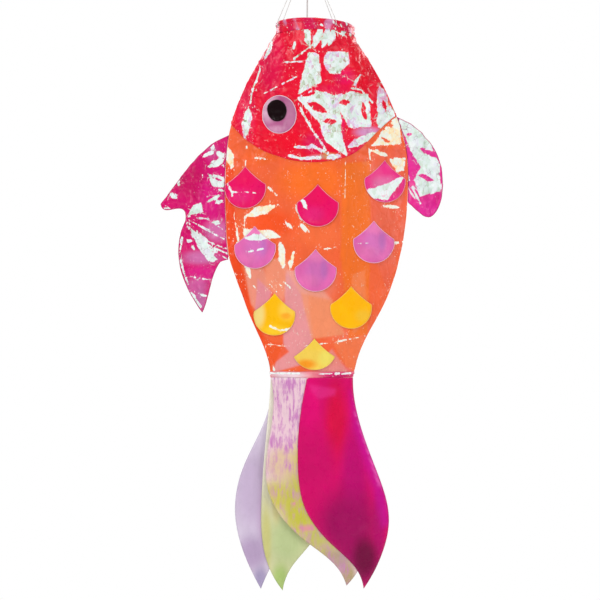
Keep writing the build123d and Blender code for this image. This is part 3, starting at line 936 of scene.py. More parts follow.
class Face:
    """One side of the body: rows down it, columns from seam to seam, read off the CAD panel."""

    def __init__(self, side):
        self.side = side
        panel = "body_" + SIDE_NAMES[side]
        points, triangles = node_arrays(panel)
        tree = node_tree(panel)
        top, bottom = points[:, 2].max() - RIM_DROP, points[:, 2].min() + HAIR
        self.heights = np.linspace(top, bottom, int((top - bottom) / ROW_STEP) + 1)
        self.turns = np.linspace(0.0, math.pi, COLUMNS)
        ends = [crossing(points, triangles, height)[:, 0] for height in self.heights]
        self.left = np.array([e.min() for e in ends])
        self.right = np.array([e.max() for e in ends])
        smooth = np.empty((len(self.heights), COLUMNS, 3))
        for row, height in enumerate(self.heights):
            middle = (self.left[row] + self.right[row]) / 2
            half = (self.right[row] - self.left[row]) / 2
            for column, turn in enumerate(self.turns):
                x = middle - half * math.cos(turn)
                hit = first_hit(tree, side, x, height)
                smooth[row, column] = x, hit.y if hit else SEAM_GAP * side, height
        self.smooth = smooth
        self.outward = grid_normals(smooth)
        if self.outward[..., 1].mean() * side < 0:
            self.outward = -self.outward
        self.find_gill_edge()
        self.crumple()

    def find_gill_edge(self):
        """The height of the head cover's lower edge at each column."""
        tree = node_tree("head_" + SIDE_NAMES[self.side])
        found = []
        for column in range(GILL_MARGIN, COLUMNS - GILL_MARGIN, 2):
            line = self.smooth[:, column]
            covered = [row for row, (x, _, z) in enumerate(line) if first_hit(tree, self.side, x, z)]
            if covered:
                found.append((column, self.heights[covered[-1]] - ROW_STEP / 2))
        columns, edge = np.array(found).T
        kernel = np.array([1.0, 2.0, 3.0, 2.0, 1.0]) / 9
        edge = np.convolve(np.pad(edge, 2, mode="edge"), kernel, mode="valid")
        slope_in = (edge[1] - edge[0]) / (columns[1] - columns[0])
        slope_out = (edge[-1] - edge[-2]) / (columns[-1] - columns[-2])
        everywhere = np.arange(COLUMNS)
        self.gill = np.interp(everywhere, columns, edge)
        self.gill += slope_in * np.minimum(everywhere - columns[0], 0)
        self.gill += slope_out * np.maximum(everywhere - columns[-1], 0)

    def crumple(self):
        """Pushes the smooth face in and out with creases, most on the head and along the seams."""
        x, z = self.smooth[..., 0], self.smooth[..., 2]
        seed = FACE_SEEDS[self.side]
        head_box, body_box = (-90, 120, HEAD_FOOT, -130), (-120, 145, -620, -250)
        small = crease_field(x, z, seed, 420, head_box, (9, 32), (3, 8), (0.5, 1.5))
        large = crease_field(x, z, seed + 1, 60, head_box, (25, 70), (8, 20), (0.8, 2.2))
        head = (small + large) * smooth_step(z, HEAD_FOOT, HEAD_FOOT + 20)
        rough = crease_field(x, z, seed + 2, 520, body_box, (8, 34), (3, 8), (0.3, 1.1))
        long = crease_field(x, z, seed + 3, 46, body_box, (50, 150), (6, 14), (0.5, 1.3))
        inward = np.sin(self.turns)[None, :] * np.ones_like(x)
        margin = smooth_step(-inward, -0.62, -0.25)
        corner = smooth_step(z, -350, -290) * smooth_step(np.abs(x - 12), 55, 85)
        foot = smooth_step(-z, 555, 600)
        share = np.clip(0.10 + 0.9 * margin + 0.7 * corner + 0.45 * foot, 0, 1.1)
        below = smooth_step(-z, 268, 312)
        wave = soft_waves(x, z, seed + 4, (60, 150)) * 1.6 + soft_waves(x, z, seed + 5, (26, 60)) * 0.5
        push = head + (rough * share + long * (0.35 + 0.5 * margin)) * below + wave
        push = push * (smooth_step(inward, 0.0, 0.22) * smooth_step(-z, 134, 150))
        down = np.gradient(push, axis=0) / ROW_STEP
        width = np.maximum((self.right - self.left)[:, None] / COLUMNS, 0.5)
        along = np.gradient(push, axis=1) / width
        self.tilt = np.stack([along, down], axis=-1)
        sway = soft_waves(z * 0, z, seed=5, lengths=(30, 90))[..., None] * np.array([0.5, 0.0, 0.0])
        self.points = self.smooth + self.outward * push[..., None]
        self.points = self.points + sway * smooth_step(-z, 140, 190)[..., None]

    def seams_at(self, height):
        """Where the left and right seams are at a height."""
        return [np.interp(-height, -self.heights, seam) for seam in (self.left, self.right)]

    def across(self, height, turns):
        """x at a height, for angles that run from 0 at the left seam to pi at the right one."""
        left, right = self.seams_at(height)
        return (left + right) / 2 - (right - left) / 2 * np.cos(turns)

    def columns_at(self, x, height):
        """Fractional row and column of the points x, height on this face."""
        row = np.interp(-height, -self.heights, np.arange(len(self.heights)))
        left, right = self.seams_at(height)
        share = np.clip((x - (left + right) / 2) / ((right - left) / 2), -1, 1)
        return row, np.arccos(-share) / math.pi * (COLUMNS - 1)

    def at(self, x, height, off):
        """Points lying off the crumpled face by off, with their outward normals and tilt."""
        row, column = self.columns_at(x, height)
        outward = sample_grid(self.outward, row, column)
        outward = outward / np.linalg.norm(outward, axis=-1, keepdims=True)
        place = sample_grid(self.points, row, column) + outward * np.asarray(off)[..., None]
        return place, outward, sample_grid(self.tilt, row, column)


FACES = {side: Face(side) for side in (FRONT, BACK)}


def lean_to_key_light(tilt):
    """How far a crease leans towards the upper left, where the key light is; the painted highlights follow
    it.
    """
    return tilt[..., 0] * 0.6 - tilt[..., 1] * 0.8


def grid_film(name, points, outward, attributes):
    """A film piece over a grid of points."""
    listed = {key: value.reshape(-1, *value.shape[2:]) for key, value in attributes.items()}
    faces = grid_faces(*points.shape[:2])
    return film_piece(name, points.reshape(-1, 3), outward.reshape(-1, 3), faces, listed)


def body_panel(side):
    """The orange film of one side, from the mouth to the tail."""
    face = FACES[side]
    x, z = face.smooth[..., 0], face.smooth[..., 2]
    inward = np.sin(face.turns)[None, :] * np.ones_like(x)
    # Creases near the seams need less lean for a painted highlight.
    lift = 0.8 - 0.3 * smooth_step(-inward, -0.55, -0.15)
    obj = grid_film("body_panel_" + SIDE_NAMES[side], face.points, face.outward, {
        "paint": painted(x, z, (242, 100, 56), BODY_SPOTS, BODY_PANELS),
        "sheen": face_highlight_depth(x, z, BODY_HIGHLIGHTS, side, lean_to_key_light(face.tilt), lift),
        "edge": np.minimum(inward * 40, 30.0),
        "place": face.smooth * MM,
    })
    on_streamer(obj, BODY_FILM, "body_film", "body_" + SIDE_NAMES[side])


def head_cover(side):
    """The pink film over the head, from under the mouth hem to the gill edge."""
    face = FACES[side]
    rows, columns = 132, 157
    turns = np.linspace(0.0, math.pi, columns)
    foot = np.interp(turns, face.turns, face.gill)
    top = face.heights[0]
    z = top + (foot[None, :] - top) * np.linspace(0, 1, rows)[:, None]
    x = face.across(z, turns[None, :])
    away = z - foot[None, :]
    fold = np.exp(-((away - 3.2) / 0.8) ** 2) * 0.35
    points, outward, tilt = face.at(x, z, LAYER_HEAD + fold)
    obj = grid_film("head_cover_" + SIDE_NAMES[side], points, outward, {
        "paint": painted(x, z, (236, 10, 50), HEAD_SPOTS),
        "sheen": face_highlight_depth(x, z, HEAD_HIGHLIGHTS, side, lean_to_key_light(tilt), 0.8),
        "edge": np.clip(away, 0, 30.0),
        "place": np.stack([x, outward[..., 1] * 30, z], axis=-1) * MM,
    })
    on_streamer(obj, HEAD_FILM, "head_film", "head_" + SIDE_NAMES[side])


for side in (FRONT, BACK):
    body_panel(side)
    head_cover(side)


# ---------------------------------------------------------------- mouth hem

HEM_CASING = 2.75               # from the wire's middle to the film round it
HEM_FOOT = -142.0
HEM_STEPS = 540
HEM_TURN = 1.1                  # how far past level, in radians, the casing wraps on each side of the wire
STITCHES = 84
STITCH_RISE = 0.86              # how far up the skirt from its foot to the casing the stitches are


def fitted_ring(node):
    """Centre, radius and axes of a ring node's middle circle."""
    points, _ = node_arrays(node)
    centre = (points.max(axis=0) + points.min(axis=0)) / 2
    _, _, axes = np.linalg.svd(points - centre, full_matrices=False)
    normal = axes[2] * np.sign(axes[2][2])
    across = np.cross([0.0, 1.0, 0.0], normal)
    across /= np.linalg.norm(across)
    away = points - centre
    flat = away - (away @ normal)[:, None] * normal
    radius = (np.linalg.norm(flat, axis=1).max() + np.linalg.norm(flat, axis=1).min()) / 2
    return centre, radius, across, np.cross(normal, across), normal


def mouth_hem_film():
    """The film turned over the hoop, gathered a little, with its skirt outside the head film."""
    centre, radius, across, deep, up = fitted_ring("hoop_wire")
    turns = np.linspace(0, 2 * math.pi, HEM_STEPS, endpoint=False)
    out = np.cos(turns)[:, None] * across + np.sin(turns)[:, None] * deep
    wire = centre + radius * out
    ones = np.ones(HEM_STEPS)
    pleat = crease_field(turns * radius, turns * 0, 301, 150, (0, 2 * math.pi * radius, -2, 2),
                         (6, 16), (1.2, 4.0), (0.15, 0.5))
    wobble = soft_waves(turns * radius, turns * 0, 302, (14, 50)) * 0.35
    foot, foot_out, inner = (np.empty((HEM_STEPS, 3)) for _ in range(3))
    for side in (FRONT, BACK):
        face = FACES[side]
        here = np.sin(turns) * side >= 0
        x = centre[0] + radius * np.cos(turns[here])
        foot[here], foot_out[here], _ = face.at(x, ones[here] * HEM_FOOT, ones[here] * (LAYER_HEAD + 0.5))
        inner[here] = face.at(x, ones[here] * (HEM_FOOT + 1.0), ones[here] * -0.7)[0]
    rows, normals, depth = [], [], []
    size = HEM_CASING + 0.25 * wobble
    start = wire + size[:, None] * (math.cos(-HEM_TURN) * out + math.sin(-HEM_TURN) * up)
    for share in (0.0, 0.12, 0.26, 0.42, 0.58, 0.74, 0.88):
        line = foot * (1 - share) + start * share
        puff = math.sin(math.pi * share) * 0.5 + 0.1
        gather = pleat * math.sin(math.pi * min(share + 0.15, 1.0))
        rows.append(line + out * (gather + puff * 0.4)[:, None])
        normals.append(foot_out * (1 - share) + out * share)
        depth.append(ones * share)
    for angle in np.linspace(-HEM_TURN, math.pi + HEM_TURN, 18):
        ray = math.cos(angle) * out + math.sin(angle) * up
        rows.append(wire + ray * (size + pleat * 0.35 * (1 + math.cos(angle)) / 2)[:, None])
        normals.append(ray)
        depth.append(ones * (1.0 + (angle + HEM_TURN) / (math.pi + 2 * HEM_TURN)))
    last = rows[-1]
    for share in (0.3, 0.65, 1.0):
        rows.append(last * (1 - share) + inner * share)
        normals.append(-out)
        depth.append(ones * (2.0 + share))
    points, normals, depth = np.concatenate(rows), np.concatenate(normals), np.concatenate(depth)
    normals = normals / np.linalg.norm(normals, axis=1, keepdims=True)
    around = np.tile(turns, len(rows))
    mix = np.clip(0.5 + 1.2 * soft_waves(around * radius, depth * 6, 303, (8, 40)), 0, 1)[:, None]
    colour = linear((240, 14, 50)) * mix + linear((222, 14, 80)) * (1 - mix)
    # Lilac streaks painted on the hem as highlights.
    lilac_highlight = smooth_step(soft_waves(around * radius, depth * 5, 305, (9, 34)), 0.1, 0.55)[:, None] * 0.75
    colour = colour * (1 - lilac_highlight) + linear((218, 150, 196)) * lilac_highlight
    # The inside of the hem, facing into the tube, is painted dark wine as painted shade.
    colour = np.where((depth > 1.9)[:, None], linear((120, 12, 50)), colour)
    # Made-up crinkle lean for the hem's painted highlights, on its outside only.
    lean = soft_waves(around * radius, depth * 9, 304, (5, 24))
    sheen = np.where(depth < 1.75, (lean - 0.46) * LEAN_GAIN, -FAR)
    obj = film_piece("mouth_hem_film", points, normals, ring_faces(len(rows), HEM_STEPS),
                     {"paint": colour, "sheen": sheen, "edge": depth * 8 + 2, "place": points * MM})
    on_streamer(obj, HEM_FILM, "head_film", "mouth_hem")
    hem_stitches(foot * (1 - STITCH_RISE) + start * STITCH_RISE + out * 0.42, out)


def hem_stitches(line, out):
    """A row of short thread stitches just under the casing."""
    profile = ((-1.15, 0.05, -0.2), (-0.8, 0.17, 0.0), (0.0, 0.2, 0.0), (0.8, 0.17, 0.0), (1.15, 0.05, -0.2))
    around = 6
    ahead = 2                       # steps round the hem to the point that a stitch is laid towards
    parts = []
    for index in (np.arange(STITCHES) * HEM_STEPS / STITCHES).astype(int):
        along = line[(index + ahead) % HEM_STEPS] - line[index]
        along /= np.linalg.norm(along)
        beside = np.cross(out[index], along)
        points = []
        for reach, thick, dip in profile:
            for angle in np.arange(around) * 2 * math.pi / around:
                away = out[index] * (dip + thick * math.cos(angle)) + beside * thick * math.sin(angle)
                points.append(line[index] + along * reach + away)
        parts.append((points, tube_faces(len(profile), around, False)))
    points, faces = joined(parts)
    obj = mesh_piece("mouth_hem_stitches", points, faces, {"place": points * MM})
    on_streamer(obj, THREAD, None)


# ---------------------------------------------------------------- scales and eyes

HALVINGS = 16                   # steps in the search for a patch's edge along each spoke


def outline_reach(node, side, angles):
    """Centre of a flat patch's node and its reach from there at each angle."""
    low, high = node_box(node)
    centre = (low + high) / 2
    tree = node_tree(node)
    reach = np.empty(len(angles))
    for index, angle in enumerate(angles):
        inside, outside = 0.0, math.hypot(high[0] - low[0], high[2] - low[2])
        for _ in range(HALVINGS):
            middle = (inside + outside) / 2
            x, z = centre[0] + middle * math.cos(angle), centre[2] + middle * math.sin(angle)
            if first_hit(tree, side, x, z):
                inside = middle
            else:
                outside = middle
        reach[index] = inside
    return centre, reach


def star_patch(node, side, material, slot_name, look, layer, rings, spokes, flat, lift, seed):
    """A thin film patch with the node's own outline, lying on the face."""
    angles = np.arange(spokes) * 2 * math.pi / spokes + math.pi / 2
    centre, reach = outline_reach(node, side, angles)
    share = np.linspace(0, 1, rings + 1)[1:] ** 0.9
    x = np.concatenate([[centre[0]], (centre[0] + share[:, None] * reach * np.cos(angles)).ravel()])
    z = np.concatenate([[centre[2]], (centre[2] + share[:, None] * reach * np.sin(angles)).ravel()])
    inward = np.concatenate([[reach.min()], ((1 - share)[:, None] * reach).ravel()])
    low = np.clip((centre[2] - z) / reach.max() + 0.1, 0, 1)
    own = crease_field(x, z, seed, 12, (x.min(), x.max(), z.min(), z.max()), (10, 30), (3, 9), (0.1, 0.4))
    off = layer + lift * low ** 2 * (1 + 0.5 * soft_waves(x, z, seed + 1, (25, 50))) + np.clip(own, 0, 1)
    off = off + np.exp(-((inward - 1.8) / 0.45) ** 2) * 0.14
    points, outward, _ = FACES[side].at(x, z, off)
    middle = [(0, 1 + i, 1 + (i + 1) % spokes) for i in range(spokes)]
    quads = 1 + ring_faces(rings, spokes)
    faces = np.concatenate([np.array(middle), quads[:, [0, 3, 2]], quads[:, [0, 2, 1]]])
    base, spots = look
    spots = [(centre[0] + right, centre[2] + up, *rest) for right, up, *rest in spots]
    obj = film_piece(node + "_film", points, outward, faces, {
        "paint": painted(x, z, base, spots),
        "sheen": highlight_depth(x, z, SCALE_HIGHLIGHTS.get(node.replace("back", "front"), {})),
        "edge": inward,
        "place": np.stack([x, x * 0, z], axis=1) * MM,
    })
    on_streamer(obj, material, slot_name, node)


# Each look is a base colour and spots, which are placed from the middle of their patch.
PINK_LOOK = (232, 8, 98), [(0, 14, 20, 14, (234, 12, 88), 0.7), (-6, -12, 18, 12, (230, 40, 126), 0.6)]
VIOLET_LOOK = (228, 104, 176), [
    (0, -2, 18, 22, (212, 114, 186), 0.8), (4, 20, 22, 10, (238, 128, 186), 0.8),
    (-10, -14, 16, 10, (232, 118, 178), 0.6), (12, 2, 6, 16, (178, 112, 190), 0.5),
]
SCALE_LOOKS = [
    PINK_LOOK,
    PINK_LOOK,
    ((232, 40, 130), [(0, -4, 22, 14, (226, 110, 164), 0.8), (16, -8, 8, 12, (214, 40, 96), 0.7)]),
    VIOLET_LOOK,
    VIOLET_LOOK,
    VIOLET_LOOK,
    ((248, 184, 6), [(-22, 0, 10, 22, (240, 214, 130), 0.95), (18, 6, 14, 16, (248, 206, 80), 0.8),
                     (16, -2, 8, 5, (250, 150, 20), 0.7), (2, -22, 20, 8, (252, 206, 50), 0.7)]),
    ((255, 184, 4), [(0, 12, 20, 16, (255, 178, 2), 0.6), (16, -12, 12, 10, (244, 190, 50), 0.8)]),
    ((242, 204, 84), [(-12, -14, 16, 8, (248, 150, 30), 0.95), (16, -6, 12, 14, (234, 218, 100), 0.8),
                      (0, 14, 18, 10, (246, 206, 70), 0.7)]),
]
EYE_LOOK = (184, 96, 144), [
    (-15, 10, 16, 22, (224, 180, 204), 0.9), (14, 0, 10, 24, (196, 130, 166), 0.7),
    (-4, -20, 16, 6, (216, 160, 190), 0.6),
]
PUPIL_LOOK = (22, 8, 12), []
SCALE_FILMS = [(PINK_SCALE, "pink_scale_film"), (VIOLET_SCALE, "violet_scale_film"),
               (GOLD_SCALE, "gold_scale_film")]
SCALE_LIFT = 1.3                # how far a scale's lower edge stands off the body
LAYER_EYE = LAYER_HEAD + 0.95
LAYER_PUPIL = LAYER_HEAD + 1.8

for side, word in SIDE_NAMES.items():
    for number, look in enumerate(SCALE_LOOKS, 1):
        flat = (0.058, 0.044 if number == 9 else 0.059)
        star_patch(f"scale_{word}_{number}", side, *SCALE_FILMS[(number - 1) // 3], look, layer=LAYER_HEAD,
                   rings=12, spokes=120, flat=flat, lift=SCALE_LIFT, seed=500 + number * 7 + side)
    star_patch(f"eye_{word}", side, EYE_FILM, "eye_film", EYE_LOOK, layer=LAYER_EYE,
               rings=12, spokes=96, flat=(0.048, 0.053), lift=0.0, seed=640 + side)
    star_patch(f"pupil_{word}", side, PUPIL_FILM, "pupil_film", PUPIL_LOOK, layer=LAYER_PUPIL,
               rings=8, spokes=72, flat=(0.027, 0.030), lift=0.0, seed=650 + side)

mouth_hem_film()


# ---------------------------------------------------------------- fins and tail films

def plate_outline(node):
    """The edge of a flat upright plate node, as an ordered loop of x, z points."""
    points, triangles = node_arrays(node)
    front = points[:, 1].min()
    keys = {}
    welded = np.array([keys.setdefault(tuple(np.round(p, 3)), len(keys)) for p in points])
    spots = np.array(list(keys))
    on_front = np.abs(points[triangles][:, :, 1] - front).max(axis=1) < HAIR
    loops = {a: b for a, b in border_of(welded[triangles[on_front]])}
    start = next(iter(loops))
    order, here = [start], loops[start]
    while here != start:
        order.append(here)
        here = loops[here]
    return spots[order][:, [0, 2]], (points[:, 1].min() + points[:, 1].max()) / 2


SHARP_TURN = 0.45               # radians, the least turn of an outline that is kept as a corner


def even_steps(loop, step):
    """A closed loop with points at even steps, its sharp corners kept."""
    following = np.roll(loop, -1, axis=0)
    before = loop - np.roll(loop, 1, axis=0)
    after = following - loop
    turn = np.arctan2(before[:, 0] * after[:, 1] - before[:, 1] * after[:, 0], (before * after).sum(axis=1))
    corners = np.flatnonzero(np.abs(turn) > SHARP_TURN)
    result = []
    for first, last in zip(corners, np.roll(corners, -1)):
        count = (last - first) % len(loop) or len(loop)
        run = loop[(first + np.arange(count + 1)) % len(loop)]
        reach = np.concatenate([[0], np.cumsum(np.linalg.norm(np.diff(run, axis=0), axis=1))])
        steps = max(int(round(reach[-1] / step)), 1)
        marks = np.linspace(0, reach[-1], steps + 1)[:-1]
        result.append(np.stack([np.interp(marks, reach, part) for part in run.T], axis=1))
    return np.concatenate(result)


def filled_outline(loop, step):
    """Triangles filling a loop evenly: spots, faces and each spot's distance from the edge."""
    low, high = loop.min(axis=0), loop.max(axis=0)
    rise = step * math.sqrt(3) / 2
    spots = []
    for row, z in enumerate(np.arange(low[1] + rise / 2, high[1], rise)):
        shift = step / 2 if row % 2 else 0.0
        spots.extend((x, z) for x in np.arange(low[0] + shift, high[0], step))
    spots = np.array(spots)
    away, inside = nearest(*spots.T, loop, True)
    everything = np.concatenate([loop, spots[inside & (away > step * 0.55)]])
    rim = [(i, (i + 1) % len(loop)) for i in range(len(loop))]
    made = geometry.delaunay_2d_cdt([Vector(p) for p in everything.tolist()], rim, [], 1, 1e-5)
    spots = np.array([tuple(p) for p in made[0]])
    faces = np.array([f for f in made[2] if len(f) == 3])
    return spots, faces, nearest(*spots.T, loop, True)[0]


def rounded_foot(loop, reach):
    """The outline with its lowest corner rounded off."""
    low = loop[loop[:, 1].argmin()].copy()
    near = (1 - smooth_step(np.hypot(*(loop - low).T), reach * 0.5, reach * 1.4))[:, None]
    for _ in range(8):
        middle = (np.roll(loop, 1, axis=0) + np.roll(loop, -1, axis=0)) / 2
        loop = loop * (1 - near) + middle * near
    return loop


def upright_film(node, material, slot_name, step, shape, paint, flat, blunt=0.0):
    """A flat film hanging from its node's place, moved by shape and coloured by paint."""
    loop, plane = plate_outline(node)
    loop = even_steps(loop, step)
    if blunt:
        loop = rounded_foot(loop, blunt)
    spots, faces, inward = filled_outline(loop, step)
    x, z = spots.T
    x_new, push, z_new = shape(x, z)
    points = np.stack([x_new, plane + push - FILM_THICK / 2, z_new], axis=1)
    normals = np.tile([0.0, -1.0, 0.0], (len(points), 1))
    obj = film_piece(node + "_film", points, normals, faces, {
        "edge": inward,
        "place": np.stack([x, x * 0, z], axis=1) * MM,
        **paint(x, z),
    })
    give(obj, material, slot_name)
    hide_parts(node)
    return obj


LEFT, RIGHT = -1, 1
FIN_STEP, TAIL_STEP = 2.2, 3.2  # about the size of the films' triangles
FOOT_DROP = 4.5                 # how far the belly fin's lower edge is let down


def seam_x(height, hand):
    """The body's left or right edge at a height."""
    left, right = FACES[FRONT].seams_at(height)
    return right if hand == RIGHT else left


def root_gaps(node, hand):
    """At each millimetre of a fin's height, the gap that its plate leaves beside the body's seam."""
    loop, _ = plate_outline(node)
    loop = even_steps(loop, 1.0)
    away = (loop[:, 0] - seam_x(loop[:, 1], hand)) * hand
    heights = np.arange(math.floor(loop[:, 1].min()), math.ceil(loop[:, 1].max()) + 1.0)
    gaps = [away[np.abs(loop[:, 1] - height) < 1.5].min(initial=FAR * 2) for height in heights]
    return heights, np.array(gaps)


def reach_to_seam(x, z, hand, heights, gaps):
    """Moves the root of a fin sideways so that it starts at the body's seam."""
    away = (x - seam_x(z, hand)) * hand
    gap = np.interp(z, heights, gaps)
    gap = gap * (1 - smooth_step(gap, 9.0, 12.0))
    return x - hand * np.maximum(gap - SEAM_GAP, 0) * (1 - smooth_step(away - gap, 0.0, 16.0))


def straight_foot(x, z, reached):
    """Runs the belly fin's lower edge straight to the seam, a little below its plate."""
    x = x + (reached - x) * (1 - smooth_step(-z, 370, 374))
    drop = FOOT_DROP * smooth_step(x, 136, 143) * (1 - smooth_step(x, 160, 182))
    return x, z - drop * smooth_step(-z, 345, 370)


def fin(node, hand, seed, flat, lift, blunt):
    """A crumpled fin whose root starts at the body's seam."""
    low, high = node_box(node)
    area = (low[0], high[0], low[2], high[2])
    gaps = root_gaps(node, hand)

    def shape(x, z):
        push = crease_field(x, z, seed, 260, area, (8, 34), (3, 8), (0.6, 1.8))
        push += crease_field(x, z, seed + 1, 40, area, (24, 70), (8, 18), (1.0, 2.6))
        push += soft_waves(x, z, seed + 2, (45, 110)) * 4.0
        push *= smooth_step(np.abs(x - seam_x(z, hand)), 1.0, 14.0)
        x_new, z_new = reach_to_seam(x, z, hand, *gaps), z
        if hand == RIGHT:
            x_new, z_new = straight_foot(x, z, x_new)
        return x_new, push, z_new

    def paint(x, z):
        # A made-up crease lean, only to scatter painted highlights over the fin.
        lean = crease_field(x, z, seed + 4, 90, area, (10, 34), (3, 8), (0.4, 1.0))
        return {"paint": painted(x, z, FIN_BASES[node], FIN_SPOTS[node]),
                "sheen": highlight_depth(x, z, FIN_HIGHLIGHTS[node], lean, lift)}

    obj = upright_film(node, FIN_FILM, "fin_film", FIN_STEP, shape, paint, flat, blunt)
    middle = (low[2] + high[2]) / 2
    seam = float(seam_x(middle, hand))
    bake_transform(obj)


fin("dorsal_fin", LEFT, 810, (0.09, 0.26), lift=0.8, blunt=0.0)
fin("belly_fin", RIGHT, 840, (0.065, 0.15), lift=3.0, blunt=9.0)


TAILS = {
    "tail_magenta": ("tail_front_outer", TAIL_FILM, "magenta_film", (0.135, 0.31)),
    "tail_yellow": ("tail_front_inner", TWO_TONE_FILM, "two_tone_film", (0.12, 0.31)),
    "tail_green": ("tail_back_inner", TAIL_FILM, "green_film", (0.10, 0.31)),
    "tail_lavender": ("tail_back_outer", TAIL_FILM, "lavender_film", (0.10, 0.31)),
}
WELD_COLOUR = (246, 226, 232)


def tail_film(node, body, material, slot_name, flat):
    """A long smooth film, gently waved, that hangs below the tail seam."""
    low, high = node_box(node)
    top = high[2]

    def shape(x, z):
        down = smooth_step(-z, -top, -low[2])
        push = soft_waves(x, z * 0.6, 901, (120, 260)) * 5.0 * down
        push += crease_field(x, z, 905, 60, (-120, 130, -900, -620), (20, 90), (3, 9), (0.15, 0.5)) * down
        return x, push, z + 1.35 * smooth_step(z, top - 9.0, top)

    def paint(x, z):
        streak = 0.42 + 0.6 * (1 - smooth_step(-z, 690, 770)) + 0.5 * soft_waves(x, z, 911, (16, 40))
        weld = [(-80, top + 2), (0, top + 2), (0, top - 1.6), (-80, top - 1.6)]
        panels = [(weld, 0.8, WELD_COLOUR, 0.9), *TAIL_PANELS[node]]
        return {"paint": painted(x, z, TAIL_BASES[node], TAIL_SPOTS[node], panels),
                "sheen": np.full(len(x), -FAR), "streak": np.clip(streak, 0, 1)}

    obj = upright_film(node, material, slot_name, TAIL_STEP, shape, paint, flat)
    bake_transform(obj)


for node, details in TAILS.items():
    tail_film(node, *details)


def tail_hem(side):
    """The folded strip across the end of the body, with a ridge near its top."""
    node = "tail_hem_" + SIDE_NAMES[side]
    low, high = node_box(node)
    top = high[2]
    face = FACES[side]
    rows = 11
    turns = np.linspace(0.03, math.pi - 0.03, 141)
    heights = np.linspace(top, low[2], rows)[:, None]
    x = face.across(heights, turns[None, :])
    z = heights * np.ones_like(x)
    z = z + 0.5 * soft_waves(x, z * 0, 77 + side, (20, 60)) * (np.arange(rows) == 0)[:, None]
    ridge = np.exp(-((z - top + 2.2) / 0.7) ** 2) * 0.45
    ripple = crease_field(x, z, 79 + side, 60, (-60, 70, low[2], top), (4, 14), (1.5, 4), (0.1, 0.35))
    points, outward, _ = face.at(x, z, LAYER_HEAD + ridge + np.clip(ripple, -0.3, 0.6))
    spots = [(-26, -617, 30, 6, (240, 214, 224), 0.9), (42, -617, 32, 6, (214, 24, 112), 0.95)]
    # Thin painted highlight lines along the hem's ridge.
    lines = [(0.9, (-52, top - 2.4), (-12, top - 2.4)), (0.5, (16, top - 3), (34, top - 2.6)),
             (1.3, (39, top - 3), (44, top - 2)), (0.8, (48, top - 3.4), (60, top - 2))]
    obj = grid_film(node + "_film", points, outward, {
        "paint": painted(x, z, (236, 132, 142), spots),
        "sheen": highlight_depth(x, z, {"lines": lines}),
        "edge": np.full(x.shape, FAR),
        "place": points * MM,
    })
    on_streamer(obj, TAIL_FILM, "body_film", node)


for side in (FRONT, BACK):
    tail_hem(side)


# ---------------------------------------------------------------- knot and swivel

def rope_ring(path, radius, turns=8, closed=True):
    """Points and faces of a tube round a path of points in millimetres."""
    path = np.asarray(path, float)
    count = len(path)
    forward = np.roll(path, -1, axis=0) - np.roll(path, 1, axis=0)
    if not closed:
        forward[0], forward[-1] = path[1] - path[0], path[-1] - path[-2]
    forward /= np.linalg.norm(forward, axis=1, keepdims=True)
    guide = np.cross(forward[0], [0.3, 0.5, 0.8])
    points = []
    for place, ahead in zip(path, forward):
        guide = guide - (guide @ ahead) * ahead
        guide /= np.linalg.norm(guide)
        other = np.cross(ahead, guide)
        for turn in range(turns):
            angle = 2 * math.pi * turn / turns
            points.append(place + radius * (math.cos(angle) * guide + math.sin(angle) * other))
    return points, tube_faces(count, turns, closed)


KNOT_MIDDLE = 3.3               # the wound strands' middle, above the knot's lowest point
KNOT_REACH = 1.75               # how far out the strands run, on average
EYE_LOOP = 1.6                  # radius of the loop through the swivel's lower eye


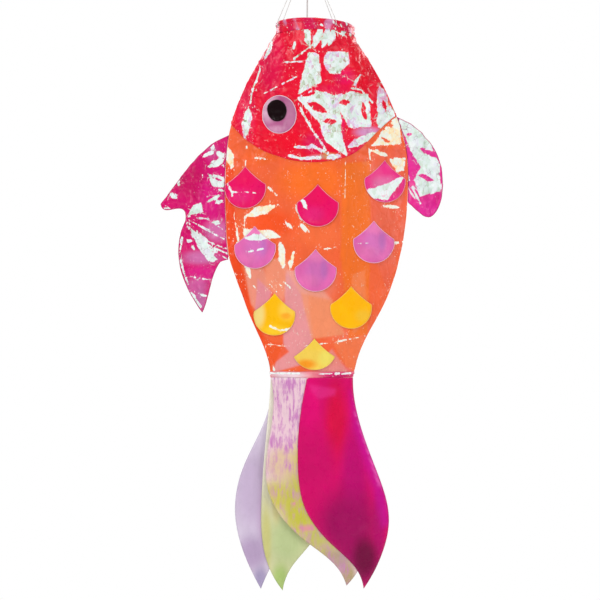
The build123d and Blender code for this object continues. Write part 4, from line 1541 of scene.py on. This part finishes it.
def bridle_knot_cord():
    """The knot that gathers the lines: wound strands, a loop through the eye and two trimmed ends."""
    low, high = node_box("bridle_knot")
    middle = np.array([0.0, 0.0, low[2] + KNOT_MIDDLE])
    t = np.linspace(0, 2 * math.pi, 180, endpoint=False)
    parts = []
    for spin, size in ((0.0, 1.0), (0.9, 0.92)):
        reach = KNOT_REACH + 0.85 * np.cos(3 * t)
        winding = np.stack([reach * np.cos(2 * t + spin) * size,
                            reach * np.sin(2 * t + spin) * size,
                            1.55 * np.sin(3 * t + spin) * size], axis=1)
        parts.append(rope_ring(middle + winding, 0.55))
    t = np.linspace(0, 2 * math.pi, 72, endpoint=False)
    loop = np.stack([EYE_LOOP * np.cos(t), 0 * t, high[2] - 2.1 + EYE_LOOP * np.sin(t)], axis=1)
    parts.append(rope_ring(loop, 0.48))
    for sign in (-1, 1):
        end = np.array([(1.2, 1.0, -1.0), (2.6, 1.5, -2.2), (3.4, 1.9, -4.0), (3.7, 1.9, -5.8)])
        parts.append(rope_ring(middle + end * (sign, 1, 1), 0.42, closed=False))
    points, faces = joined(parts)
    obj = mesh_piece("bridle_knot_cord", points, faces, {"place": points * MM})
    on_streamer(obj, WHITE_CORD, "cord", "bridle_knot")


TIE_OUT, TIE_DROP = 2.4, 3.3    # from the hoop wire's middle to a tie's middle
TIE_RADIUS = 1.25


def line_ties():
    """Where each line goes through the hem: a small ring of cord with frayed ends."""
    centre, radius, across, deep, up = fitted_ring("hoop_wire")
    parts = []
    t = np.linspace(0, 2 * math.pi, 40, endpoint=False)[:, None]
    for route in LINE_ROUTES.values():
        corner = (np.array(route[2]) + np.array(route[3])) / 2 - centre
        turn = math.atan2(corner @ deep, corner @ across)
        out = math.cos(turn) * across + math.sin(turn) * deep
        sidewise = np.cross(up, out)
        spot = centre + (radius + TIE_OUT) * out - TIE_DROP * up
        ring = spot + TIE_RADIUS * (np.cos(t) * sidewise + np.sin(t) * up) + 0.15 * np.sin(5 * t) * out
        parts.append(rope_ring(ring, 0.34, 6))
        for reach, lift in ((1.0, -0.7), (-0.8, -1.0), (0.3, -1.3)):
            end = [spot + sidewise * reach * 1.2 + up * lift * 0.9 + out * 0.1,
                   spot + sidewise * reach * 2.0 + up * lift * 1.7 + out * 0.7,
                   spot + sidewise * reach * 2.4 + up * lift * 2.6 + out * 0.9]
            parts.append(rope_ring(end, 0.16, 5, closed=False))
    points, faces = joined(parts)
    obj = mesh_piece("line_ties", points, faces, {"place": points * MM})
    on_streamer(obj, WHITE_CORD, "cord")


bridle_knot_cord()
line_ties()

BRASS = metal_material("brass", (214, 178, 104), (150, 112, 60), 0.24)
STEEL = metal_material("steel", (196, 198, 202), (140, 140, 144), 0.28)
for node in ("hanging_eye", "swivel_barrel", "line_eye"):
    repaint(node, BRASS)
for node in ("hoop_wire", "hoop_ferrule"):
    repaint(node, STEEL)
